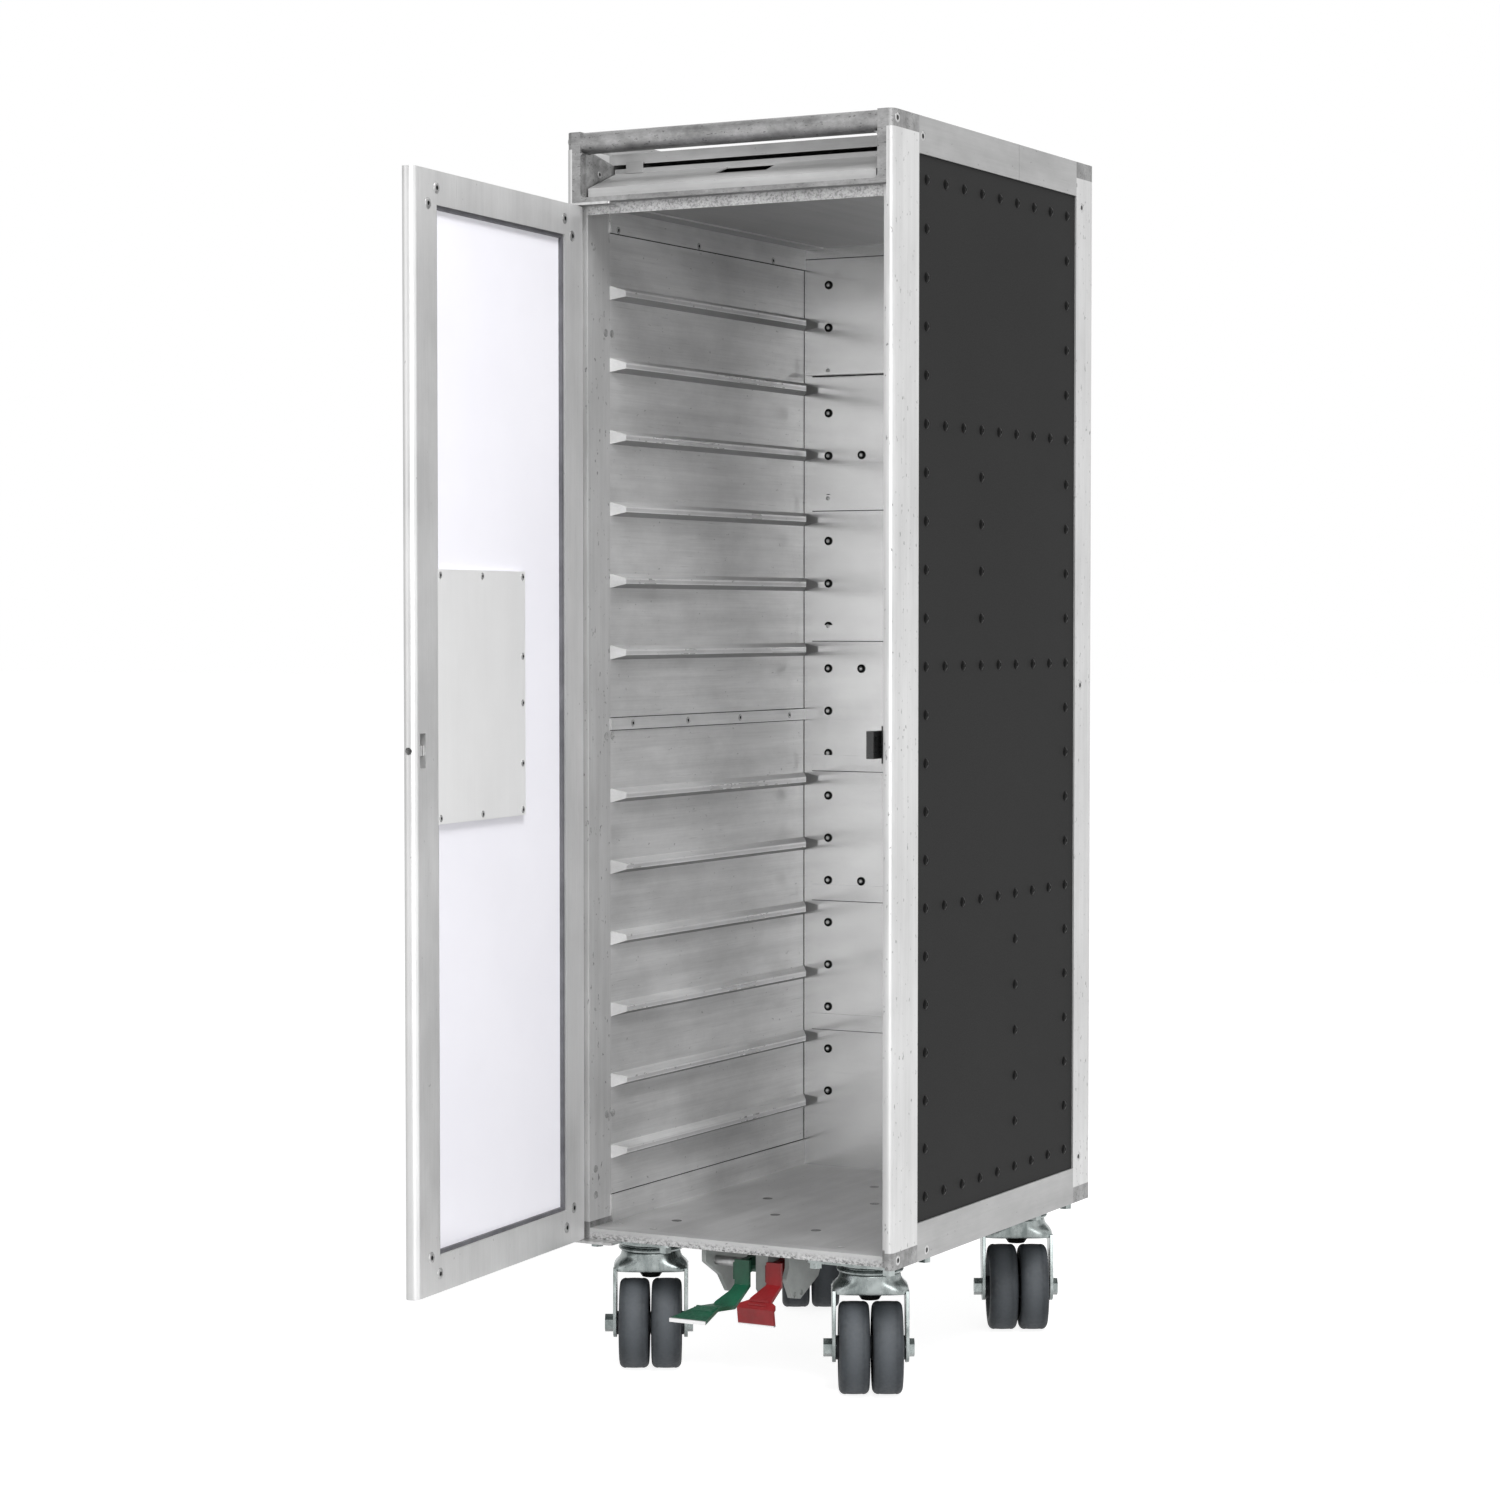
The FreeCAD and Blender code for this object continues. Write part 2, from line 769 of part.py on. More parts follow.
def paddle_axis_z():
    return cup_bottom + cup_height - cup_sheet - 4 * fit_gap - 2 * paddle_pin_radius


def latch_bolt_shape(grow):
    x1 = hinge_x + slot_centre + slot_width / 2 - fit_gap
    x0 = x1 - bolt_length
    y0 = door_inner - panel_inset + 0.2
    half = bolt_height / 2 + grow
    return box(x0 - grow, x1 + grow, y0 - grow, y0 + bolt_thickness + grow, bolt_z - half, bolt_z + half)


def hinge_plates():
    """Pivot plates under the bezel and under the foot casting, each with its riveted pin."""
    x0 = -half_width
    x1 = x0 + hinge_plate_length
    top = box(x0, x1, front, landing, bezel_bottom - hinge_plate, bezel_bottom)
    foot = box(x0, x1, front, landing + hinge_plate_seat, base_height - hinge_plate, base_height)
    plates = []
    for plate, y1, z in ((top, landing, bezel_bottom - hinge_pin_length), (foot, 0, base_height - hinge_plate)):
        plate = round_upright(plate, [(x0, front), (x1, front)], corner_round / 2)
        pin = rod(hinge_pin_radius, V(hinge_x, hinge_y, z), UP, hinge_pin_length)
        plates.append(plate.fuse(pin).removeSplitter())
    return group(plates)


def door_keeper():
    """Keeper on the right jamb: a base plate and a forward blade with an eye for the bolt."""
    x = hinge_x + slot_centre
    half = keeper_blade / 2
    z0 = bolt_z - keeper_height / 2
    z1 = bolt_z + keeper_height / 2
    blade = box(x - half, x + half, landing - keeper_reach, landing + keeper_base, z0, z1)
    bridge = box(x, inner_x, landing + keeper_base - 8, landing + keeper_base, z0, z1)
    base = box(inner_x - 3, inner_x, landing + 3, landing + keeper_base, z0 - 4, z1 + 4)
    eye_y = door_inner - panel_inset + 0.2 + bolt_thickness / 2
    eye = box(x - wall, x + half + 1, eye_y - keeper_eye / 2, eye_y + keeper_eye / 2, bolt_z - keeper_eye_height / 2, bolt_z + keeper_eye_height / 2)
    return blade.fuse(bridge).fuse(base).removeSplitter().cut(eye)


def door_screws():
    heads = []
    y = door_inner
    near = stile_width * 0.57
    for sx, x0 in ((1, hinge_x), (-1, door_nose)):
        for sz, z0, rail in ((1, door_bottom, low_rail), (-1, door_top, high_rail)):
            for dx, dz in ((near, rail), (stile_width, rail / 2)):
                heads.append(facet_disc(screw_radius, screw_height, V(x0 + sx * dx, y, z0 + sz * dz), V(0, 1, 0)))
    cover_y = door_inner - panel_inset + cover_rise
    x1 = free_inner - 1.0
    x0 = x1 - cover_width
    edge = 4.5
    z0 = cover_bottom + edge
    z1 = cover_bottom + cover_height - edge
    places = [(x, z) for x in (x0 + edge, (x0 + x1) / 2, x1 - edge) for z in (z0, z1)]
    places += [(x0 + edge, z0 + (z1 - z0) * k) for k in (0.2, 0.46, 0.66)]
    for x, z in places:
        heads.append(facet_disc(screw_radius * 0.6, screw_height, V(x, cover_y, z), V(0, 1, 0)))
    return group(heads)


# ---- rivets and screws of the cabinet ----
def rivet_head(centre, direction):
    """Domed head of a blind rivet, with few faces."""
    return turned([(0, rivet_radius), (rivet_height, 0)], centre, direction, 4)


def panel_rivets():
    """Blind rivets of the side and rear panels: a grid of edge rivets with full rows between."""
    heads = []
    full_rows = (0, 5, 10, 15, 21)
    panel_z = (base_height + bottom_rail + rail_bottom) / 2
    z0 = panel_z - rivet_row_pitch * (rivet_rows - 1) / 2
    mid_y = (front_post_end + rear_post_start) / 2
    y0 = mid_y - rivet_column_pitch * (rivet_columns - 1) / 2
    x = half_width - panel_recess
    for row in range(rivet_rows):
        z = z0 + rivet_row_pitch * (rivet_rows - 1 - row)
        for column in range(rivet_columns):
            edge = column in (0, rivet_columns - 1)
            extra = (column == 3 and 6 <= row <= 9) or (column == 5 and 16 <= row <= 20)
            if edge or extra or row in full_rows:
                y = y0 + column * rivet_column_pitch
                heads.append(rivet_head(V(x, y, z), V(1, 0, 0)))
                heads.append(rivet_head(V(-x, y, z), V(-1, 0, 0)))
    y = rear - panel_recess
    for row in range(rivet_rows):
        z = rear_rivet_top - row * rear_rivet_pitch
        for step in (0, 1, 2, 3):
            if step == 0 or row in full_rows:
                edge_x = rear_column_edge - step * rear_column_pitch
                places = (edge_x, -edge_x) if step < 3 else (0,)
                for px in places:
                    heads.append(rivet_head(V(px, y, z), V(0, 1, 0)))
    return group(heads)


def side_screw_places(side):
    """Side screws of the castings, rails and posts as (y, z) pairs; the foot on the hinge side starts at the landing."""
    high = cart_height - casting / 2
    low = base_height + casting / 2
    return [
        (front + 8, high),
        (front_post_end + 7, high - 9),
        ((landing if side < 0 else front) + 12, low),
        (front_post_end + 18, low),
        (rear_post_start + 12, rail_bottom - 9),
        (rear_post_start + 12, (base_height + cart_height) / 2),
        (rear_post_start + 12, base_height + bottom_rail + 9),
    ]


def countersunk(shape):
    """Cuts the pockets that keep the side screws below the faces of the cart's sides."""
    depth = screw_height + screw_sink
    for side in (-1, 1):
        for y, z in side_screw_places(side):
            pocket = facet_disc(screw_radius, depth + 1, V(side * (half_width - depth), y, z), V(side, 0, 0))
            if pocket.BoundBox.intersect(shape.BoundBox):
                shape = shape.cut(pocket)
    return shape


def cabinet_screws():
    """Countersunk screws of the corner castings, rails and posts, and of the liner joint."""
    heads = []
    for side in (-1, 1):
        for y, z in side_screw_places(side):
            x = side * (half_width - screw_height - screw_sink)
            heads.append(facet_disc(screw_radius, screw_height, V(x, y, z), V(side, 0, 0)))
    x = inner_x - strip_thickness
    length = liner_end - front_post_end
    for i in range(4):
        y = front_post_end + length * (0.1 + 0.27 * i)
        for side in (-1, 1):
            heads.append(facet_disc(3.0, screw_height, V(side * x, y, joint_z), V(-side, 0, 0)))
    for i in range(3):
        y = front_post_end + 12 + 138 * i
        for side in (-1, 1):
            heads.append(facet_disc(3.0, screw_height, V(side * x, y, roof_bottom - angle_leg * 0.85), V(-side, 0, 0)))
    return group(heads)


# ---- casters ----
def place_caster(shape, x, y):
    turned = shape.copy()
    turned.rotate(V(0, 0, 0), UP, caster_turn)
    turned.translate(V(x, y, 0))
    return turned


def caster_head():
    """Top plate with its raceway cup and hollow kingpin."""
    half = plate_side / 2
    under = base_height - plate_thickness
    plate = box(-half, half, -half, half, under, base_height)
    lip = (under - cup_lower) / 3
    ring = [(0, cup_radius - 1.2), (lip, cup_radius), (2 * lip, cup_radius), (2 * lip, cup_radius - 2), (under - cup_lower, cup_radius - 2)]
    cup = turned(ring, V(0, 0, cup_lower), UP, crown_facets)
    collar_z = crown_bottom + brake_travel + 2.5
    pin = facet_disc(kingpin_radius, cup_lower - collar_z, V(0, 0, collar_z), UP, crown_facets)
    collar = facet_disc(kingpin_radius + 3, 2.5, V(0, 0, collar_z), UP, 12)
    bore = facet_hole(stem_radius + 0.6, base_height, V(0, 0, 1), UP)
    return plate.fuse(cup).fuse(pin).fuse(collar).cut(bore).removeSplitter()


def caster_bolts():
    bolts = []
    for x, y in caster_places():
        for dx in (-0.5, 0.5):
            for dy in (-0.5, 0.5):
                spot = V(x + dx * bolt_spacing, y + dy * bolt_spacing, base_height - plate_thickness)
                bolts.append(facet_disc(5.5, 5.0, spot, V(0, 0, -1)))
    return group(bolts)


def fork():
    """Pressed fork: a bell-shaped crown round the kingpin and two legs bored for the axle bolt."""
    w = leg_outer
    d = crown_half_depth
    top = cup_lower - fit_gap
    crown = turned([
        (crown_bottom, w), (crown_shoulder, w), (crown_shoulder + 4.5, w - 2.5), (top - 3.5, dome_radius + 2), (top, dome_radius),
    ], V(0, 0, 0), UP, crown_facets)
    neck = facet_disc(dome_radius + 2, top - crown_shoulder, V(0, 0, crown_shoulder), UP, crown_facets)
    crown = crown.common(box(-w, w, -d, d, crown_bottom, top).fuse(neck))
    y = -caster_trail
    z = wheel_radius
    outline = [
        (d * 0.75, crown_bottom + 4),
        (d * 0.75, crown_bottom - 2),
        (y + leg_end, z),
        (y - leg_end, z),
        (-d * 0.9, crown_bottom - 2),
        (-d * 0.75, crown_bottom + 4),
    ]
    shape = crown
    for x in (-leg_outer, leg_inner):
        leg = side_prism(outline, x, x + leg_thickness)
        leg = leg.fuse(facet_disc(leg_end, leg_thickness, V(x, y, z), V(1, 0, 0), 12))
        shape = shape.fuse(leg)
    recess = crown_bottom + brake_travel + plunger_height + fit_gap
    shape = shape.cut(facet_hole(kingpin_radius + 3 + fit_gap, recess - crown_bottom + 1, V(0, 0, crown_bottom - 1), UP))
    shape = shape.cut(rod(kingpin_radius + run_gap, V(0, 0, crown_bottom), UP, cup_lower))
    return shape.cut(facet_hole(axle_radius, 2 * w + 2, V(-w - 1, y, z), V(1, 0, 0))).removeSplitter()


def axle_bolt():
    """Axle bolt through both fork legs, with its hexagon head and lock nut."""
    y = -caster_trail
    z = wheel_radius
    w = leg_outer
    shape = rod(axle_radius, V(-w - nut_height, y, z), V(1, 0, 0), 2 * w + nut_height)
    shape = shape.fuse(facet_disc(nut_radius, head_height, V(w, y, z), V(1, 0, 0)))
    return shape.fuse(facet_disc(nut_radius, nut_height, V(-w, y, z), V(-1, 0, 0))).removeSplitter()


def wheel(side):
    """Solid wheel turned in one piece: rounded tread, dished faces and a hub boss up to the fork leg."""
    x0 = wheel_gap / 2
    x1 = x0 + wheel_width
    c = wheel_round
    r = wheel_radius
    dish = r * wheel_dish
    profile = [
        (fit_gap / 2, hub_radius), (x0 + c, hub_radius), (x0 + c, dish), (x0, dish),
        (x0, r - c), (x0 + c * 0.7, r), (x1 - c * 0.7, r), (x1, r - c), (x1, dish), (x1 - c, dish), (x1 - c, hub_radius), (leg_inner - fit_gap, hub_radius),
    ]
    centre = V(0, -caster_trail, wheel_radius)
    bore = facet_hole(axle_radius + run_gap, leg_inner, centre, V(side, 0, 0))
    return turned(profile, centre, V(side, 0, 0), wheel_facets).cut(bore).removeSplitter()


# ---- brake ----
def brake_frame():
    """Flat bars under the floor, with a stem and plunger over each caster, that move together."""
    z0 = base_height + sheet + fit_gap
    z1 = z0 + frame_bar
    half = frame_bar_width / 2
    y = caster_y + half
    shape = box(caster_x - half, caster_x + half, -y, y, z0, z1)
    shape = shape.fuse(mirrored(shape))
    shape = shape.fuse(box(-caster_x, caster_x, -caster_y - half, -caster_y + half, z0, z1))
    shape = shape.fuse(box(-caster_x, caster_x, -half, half, z0, z1))
    solids = [shape.removeSplitter()]
    tip_z = 2 * wheel_radius + fit_gap
    for x, y in caster_places():
        pad = turned([(0, plunger_tip), (plunger_height, plunger_radius)], V(x, y, tip_z), UP, 16)
        stem = facet_disc(stem_radius, z0 - tip_z, V(x, y, tip_z), UP, 12)
        solids.append(pad.fuse(stem).removeSplitter())
    return group(solids)


def brake_brackets():
    """Two cheek plates that carry the pedal shaft, and a folded centre hanger."""
    top = base_height
    y = pedal_pivot_y - 18
    left = [(y, top), (y, top - 14), (y + 26, top - 29), (y + 39, top - 45), (y + 62, top - 45), (y + 78, top - 12), (y + 84, top)]
    right = [(y, top), (y, top - 12), (y - 5, top - 21), (y + 5, top - 38), (y + 20, top - 41), (y + 52, top - 27), (y + 64, top - 7), (y + 70, top)]
    plates = []
    for outline, x, mouth in ((left, bracket_left, bracket_left + bracket_plate), (right, bracket_right, bracket_right)):
        plate = side_prism(outline, x, x + bracket_plate)
        hole = facet_hole(pedal_shaft_radius, bracket_plate, V(mouth - bracket_plate / 2, pedal_pivot_y, pedal_pivot_z), V(1, 0, 0))
        plates.append(plate.cut(hole))
    for hole_y, hole_z in ((y + 10, top - 36), (y + 22, top - 36)):
        plates[1] = plates[1].cut(facet_hole(2.4, bracket_plate + 2, V(bracket_right - 1, hole_y, hole_z), V(1, 0, 0)))
    flange = front_prism([(11.3, top), (11.3, top - 32), (14.5, top - 37), (22.5, top - 37), (22.5, top)], y - 1.5, y)
    web = box(20.5, 22.5, y, y + 40, top - 30, top)
    hanger = flange.fuse(web).removeSplitter()
    plates.append(hanger.cut(facet_hole(pedal_shaft_radius, 15, V(10, pedal_pivot_y, pedal_pivot_z), V(1, 0, 0))))
    return group(plates)


def pedal_shaft():
    x0 = bracket_left + bracket_plate / 2
    x1 = bracket_right + bracket_plate / 2
    return rod(pedal_shaft_radius, V(x0, pedal_pivot_y, pedal_pivot_z), V(1, 0, 0), x1 - x0)


def plate_profile(path, thickness):
    """Side outline of a bent plate: the path and the same path offset to one side."""
    normals = []
    for i in range(len(path) - 1):
        dy = path[i + 1][0] - path[i][0]
        dz = path[i + 1][1] - path[i][1]
        size = math.hypot(dy, dz)
        normals.append((dz / size, -dy / size))
    offset = []
    for i, (y, z) in enumerate(path):
        a = normals[max(i - 1, 0)]
        b = normals[min(i, len(normals) - 1)]
        scale = thickness / (1 + a[0] * b[0] + a[1] * b[1])
        offset.append((y + (a[0] + b[0]) * scale, z + (a[1] + b[1]) * scale))
    return path + offset[::-1]


def pedal(path, plan, hub_x0, hub_x1):
    """Bent pedal plate on a hub tube, trimmed to its plan shape."""
    y = pedal_pivot_y
    z = pedal_pivot_z
    xs = [point[0] for point in plan]
    plate = side_prism(plate_profile(path, pedal_plate), min(xs), max(xs))
    shape = plate.common(prism(plan, 0, base_height))
    hub = facet_disc(pedal_shaft_radius + 3, hub_x1 - hub_x0, V(hub_x0, y, z), V(1, 0, 0), 12)
    rib = side_prism([(y, z - 6), (y, z + 6), (path[0][0] - 1, z + 5), (path[0][0] - 1, z - 9)], hub_x0, hub_x0 + 5)
    shape = shape.fuse(hub).fuse(rib)
    bore = rod(pedal_shaft_radius + run_gap, V(hub_x0 - 1, y, z), V(1, 0, 0), hub_x1 - hub_x0 + 2)
    return shape.cut(bore).removeSplitter()


def green_pedal():
    y = pedal_pivot_y
    z = pedal_pivot_z
    path = [(y - 26, z + 8), (y - 26, z - 14), (y - 52, z - 28), (y - 81, z - 25), (y - 114, z - 29.5)]
    half = pedal_width / 2
    pad = pad_width / 2
    plan = [
        (half - pedal_neck, y), (half, y), (half, y - 81), (pad, y - 114),
        (-pad, y - 114), (-half, y - 81), (-half, y - 50), (half - pedal_neck, y - 36),
    ]
    return pedal(path, plan, -6, 9)


def red_pedal():
    y = pedal_pivot_y
    z = pedal_pivot_z
    path = [(y - 26, z + 8), (y - 26, z - 12), (y - 52, z - 27), (y - 50, z - 39)]
    half = pedal_width / 2
    x = red_pedal_x
    right = x + half
    plan = [
        (right - pedal_neck, y), (right, y), (right, y - 46), (x + pad_width / 2, y - 50),
        (x + pad_width / 2, y - 58), (x - pad_width / 2, y - 58), (x - pad_width / 2, y - 50),
        (x - half, y - 46), (x - half, y - 44), (right - pedal_neck, y - 30),
    ]
    return pedal(path, plan, 24, 36)


# ---- write every piece ----
os.makedirs("parts", exist_ok=True)

post_left, post_right = front_posts()
save("post_front_left", countersunk(post_left))
save("post_front_right", countersunk(post_right))
save("rear_posts", countersunk(rear_posts()))
save("corner_castings", countersunk(corner_castings()))
save("rails", countersunk(rails()))
save("handle_frame", handle_frame())
save("sill", sill())
save("side_panels", side_panels())
save("rear_panel", rear_panel())
save("panel_rivets", panel_rivets())
save("wall_cores", wall_cores())
save("liners_upper", liner_half(joint_z, rail_bottom))
save("liners_lower", liner_half(floor_top, joint_z))
save("liner_joint_strips", joint_strips())
save("rear_liner", rear_liner())
save("rear_straps", rear_straps())
save("floor_pan", floor_pan())
save("corner_angles", corner_angles())
save("base_plate", base_plate())
save("roof_pan", roof_pan())
save("top_deck", top_deck())
save("cabinet_screws", cabinet_screws())
save("door_keeper", door_keeper())
save("hinge_plates", hinge_plates())
save("brake_brackets", brake_brackets())
save("pedal_shaft", pedal_shaft())
save("red_pedal", red_pedal())
save("green_pedal", green_pedal())
save("brake_frame", brake_frame())
save("ice_tray", ice_tray())

save("door_hinge_stile", swing(door_hinge_stile()))
save("door_free_stile", swing(door_free_stile()))
save("door_rails", swing(door_rails()))
inner_skin, door_core, outer_skin = door_panel()
save("door_inner_skin", swing(inner_skin))
save("door_core", swing(door_core))
save("door_outer_skin", swing(outer_skin))
save("door_gasket", swing(door_gasket()))
save("latch_housing", swing(latch_housing()))
save("latch_cover", swing(latch_cover()))
save("door_screws", swing(door_screws()))
save("latch_paddle", swing(latch_paddle()))
save("latch_bolt", swing(latch_bolt_shape(0.0)))

save("caster_heads", group([caster_head().translated(V(x, y, 0)) for x, y in caster_places()]))
save("caster_bolts", caster_bolts())
one_fork = fork()
one_axle = axle_bolt()
corners = ("front_left", "front_right", "rear_left", "rear_right")
for corner, (x, y) in zip(corners, caster_places()):
    save("fork_" + corner, place_caster(one_fork, x, y))
    save("axle_bolt_" + corner, place_caster(one_axle, x, y))
    save("wheel_" + corner + "_a", place_caster(wheel(-1), x, y))
    save("wheel_" + corner + "_b", place_caster(wheel(1), x, y))
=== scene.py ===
import bpy
import json
import numpy as np
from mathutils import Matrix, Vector
from math import cos, pi, radians, sin


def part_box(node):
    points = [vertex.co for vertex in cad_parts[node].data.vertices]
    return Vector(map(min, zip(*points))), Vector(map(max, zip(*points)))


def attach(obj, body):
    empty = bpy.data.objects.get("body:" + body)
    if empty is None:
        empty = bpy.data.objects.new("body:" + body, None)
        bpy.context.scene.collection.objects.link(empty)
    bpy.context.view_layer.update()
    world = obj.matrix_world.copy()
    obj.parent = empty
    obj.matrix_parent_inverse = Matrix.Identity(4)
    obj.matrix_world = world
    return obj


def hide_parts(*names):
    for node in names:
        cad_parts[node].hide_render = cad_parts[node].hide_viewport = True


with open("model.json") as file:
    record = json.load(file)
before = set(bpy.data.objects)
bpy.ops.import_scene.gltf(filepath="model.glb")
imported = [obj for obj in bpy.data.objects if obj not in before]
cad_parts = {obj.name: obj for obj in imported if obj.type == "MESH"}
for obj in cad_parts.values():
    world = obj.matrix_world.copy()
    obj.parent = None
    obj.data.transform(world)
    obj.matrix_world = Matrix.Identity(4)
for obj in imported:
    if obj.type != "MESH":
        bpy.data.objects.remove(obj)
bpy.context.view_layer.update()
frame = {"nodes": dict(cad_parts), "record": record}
nodes = frame["nodes"]
joints = {joint["name"]: joint for joint in frame["record"]["behaviour"]["joints"]}
print("frame loaded:", len(nodes), "nodes")


# Helpers for shader nodes.
def linear(code, alpha=1.0):
    # sRGB hex to linear light
    parts = [int(code[i:i + 2], 16) / 255 for i in (1, 3, 5)]
    return [c / 12.92 if c <= 0.04045 else ((c + 0.055) / 1.055) ** 2.4 for c in parts] + [alpha]


def addNode(mat, kind, settings=None, values=None, links=None):
    # one node with its settings, its socket values and its incoming links
    node = mat.node_tree.nodes.new(kind)
    for key, value in (settings or {}).items():
        setattr(node, key, value)
    for key, value in (values or {}).items():
        node.inputs[key].default_value = value
    for key, source in (links or {}).items():
        mat.node_tree.links.new(source, node.inputs[key])
    return node


def newMaterial(name):
    mat = bpy.data.materials.new(name)
    mat.use_nodes = True
    mat.node_tree.nodes.clear()
    return mat


def rampNode(mat, source, stops):
    node = addNode(mat, "ShaderNodeValToRGB", links={"Fac": source})
    ramp = node.color_ramp
    while len(ramp.elements) < len(stops):
        ramp.elements.new(0.5)
    for element, (place, colour) in zip(ramp.elements, stops):
        element.position = place
        element.color = colour
    return node


def grey(v):
    return [v, v, v, 1.0]


def mapped(mat, scale):
    # object coordinates in metres, stretched per axis
    coord = addNode(mat, "ShaderNodeTexCoord")
    return addNode(mat, "ShaderNodeMapping", values={"Scale": scale},
                   links={"Vector": coord.outputs["Object"]}).outputs["Vector"]


def multiply(mat, factors):
    # the product of several colour outputs
    result = factors[0]
    for factor in factors[1:]:
        result = addNode(mat, "ShaderNodeMix", {"data_type": "RGBA", "blend_type": "MULTIPLY"},
                         {"Factor": 1.0},
                         {"A": result, "B": factor}).outputs["Result"]
    return result


def blendColour(mat, mask, first, second):
    return addNode(mat, "ShaderNodeMix", {"data_type": "RGBA"},
                   links={"Factor": mask, "A": first, "B": second}).outputs["Result"]


def bandMask(mat, axis, start, end):
    # 0 at start to 1 at end along one object axis, in metres
    coord = addNode(mat, "ShaderNodeTexCoord")
    split = addNode(mat, "ShaderNodeSeparateXYZ", links={"Vector": coord.outputs["Object"]})
    return addNode(mat, "ShaderNodeMapRange", values={"From Min": start, "From Max": end},
                   links={"Value": split.outputs[axis]}).outputs["Result"]


def finishMaterial(mat, shader):
    addNode(mat, "ShaderNodeOutputMaterial", links={"Surface": shader.outputs[0]})
    return mat


# Metals.
def sheetMetal(name, look):
    # rolled, drawn or cast aluminium: fine lines one way, soft streaks and smudges, short scratches, dark
    # pits
    mat = newMaterial(name)

    def noise(across, along, detail=3.0, roughness=0.6):
        stretch = tuple(along if axis == look["grain"] else across for axis in "XYZ")
        return addNode(mat, "ShaderNodeTexNoise",
                       values={"Scale": 1.0, "Detail": detail, "Roughness": roughness},
                       links={"Vector": mapped(mat, stretch)}).outputs["Fac"]

    smudges = noise(look["smudge"], look["smudge"] * 0.5, 5.0, 0.62)
    lines = noise(look["line"], look["line"] * look["drawn"])
    streaks = noise(look["streak"], look["streak"] * look["drawn"] * 2, 4.0)
    pits = noise(look["pit"], look["pit"] * 0.5, 2.0, 0.7)
    scratches = noise(look["line"] * 0.9, look["line"] * 0.03, 2.0, 0.8)
    colour = multiply(mat, [
        rampNode(mat, smudges,
                 [(0.35, linear(look["dark"])), (0.62, linear(look["light"]))]).outputs["Color"],
        rampNode(mat, lines, [(0.30, grey(1 - look["lineDepth"])), (0.70, grey(1.0))]).outputs["Color"],
        rampNode(mat, streaks, [(0.36, grey(1 - look["streakDepth"])), (0.60, grey(1.0))]).outputs["Color"],
        rampNode(mat, pits,
                 [(look["pitStart"], grey(1.0)),
                  (look["pitStart"] + 0.05, grey(look["pitValue"]))]).outputs["Color"],
        rampNode(mat, scratches,
                 [(0.66, grey(1.0)), (0.74, grey(1 - look["lineDepth"] * 2.2))]).outputs["Color"],
    ])
    # painted shade: faces turned downwards are darkened as the shade under beads and edges, and faces
    # turned to the front (-Y) are darkened to hold back the light of the front lamps; the under and front
    # keys set how dark
    facing = addNode(mat, "ShaderNodeNewGeometry").outputs["Normal"]
    turned = addNode(mat, "ShaderNodeSeparateXYZ", links={"Vector": facing})
    for axis, low in (("Z", look["under"]), ("Y", look["front"])):
        share = addNode(mat, "ShaderNodeMapRange", values={"From Min": -1.0, "To Min": 0.0},
                        links={"Value": turned.outputs[axis]}).outputs["Result"]
        colour = multiply(mat,
                          [colour, rampNode(mat, share,
                                            [(0.08, grey(low)), (0.36, grey(1.0))]).outputs["Color"]])
    for axis, start, end in look.get("battered", ()):
        # knocks and grime along an edge: the mask grows from start to end
        dents = noise(430, 300, 3.0, 0.75)
        knocked = rampNode(mat, dents,
                           [(0.40, grey(0.14)), (0.48, grey(0.80)), (0.60, grey(1.25))]).outputs["Color"]
        colour = blendColour(mat, bandMask(mat, axis, start, end), colour, multiply(mat, [colour, knocked]))
    rough = addNode(mat, "ShaderNodeMapRange",
                    values={"From Min": 0.3, "From Max": 0.7, "To Min": look["rough"][0],
                            "To Max": look["rough"][1]},
                    links={"Value": smudges})
    bump = addNode(mat, "ShaderNodeBump", values={"Strength": look["bump"], "Distance": 0.0003},
                   links={"Height": lines})
    shader = addNode(mat, "ShaderNodeBsdfPrincipled", values={"Metallic": look["metallic"]},
                     links={"Base Color": colour, "Roughness": rough.outputs["Result"],
                            "Normal": bump.outputs["Normal"]})
    return finishMaterial(mat, shader)


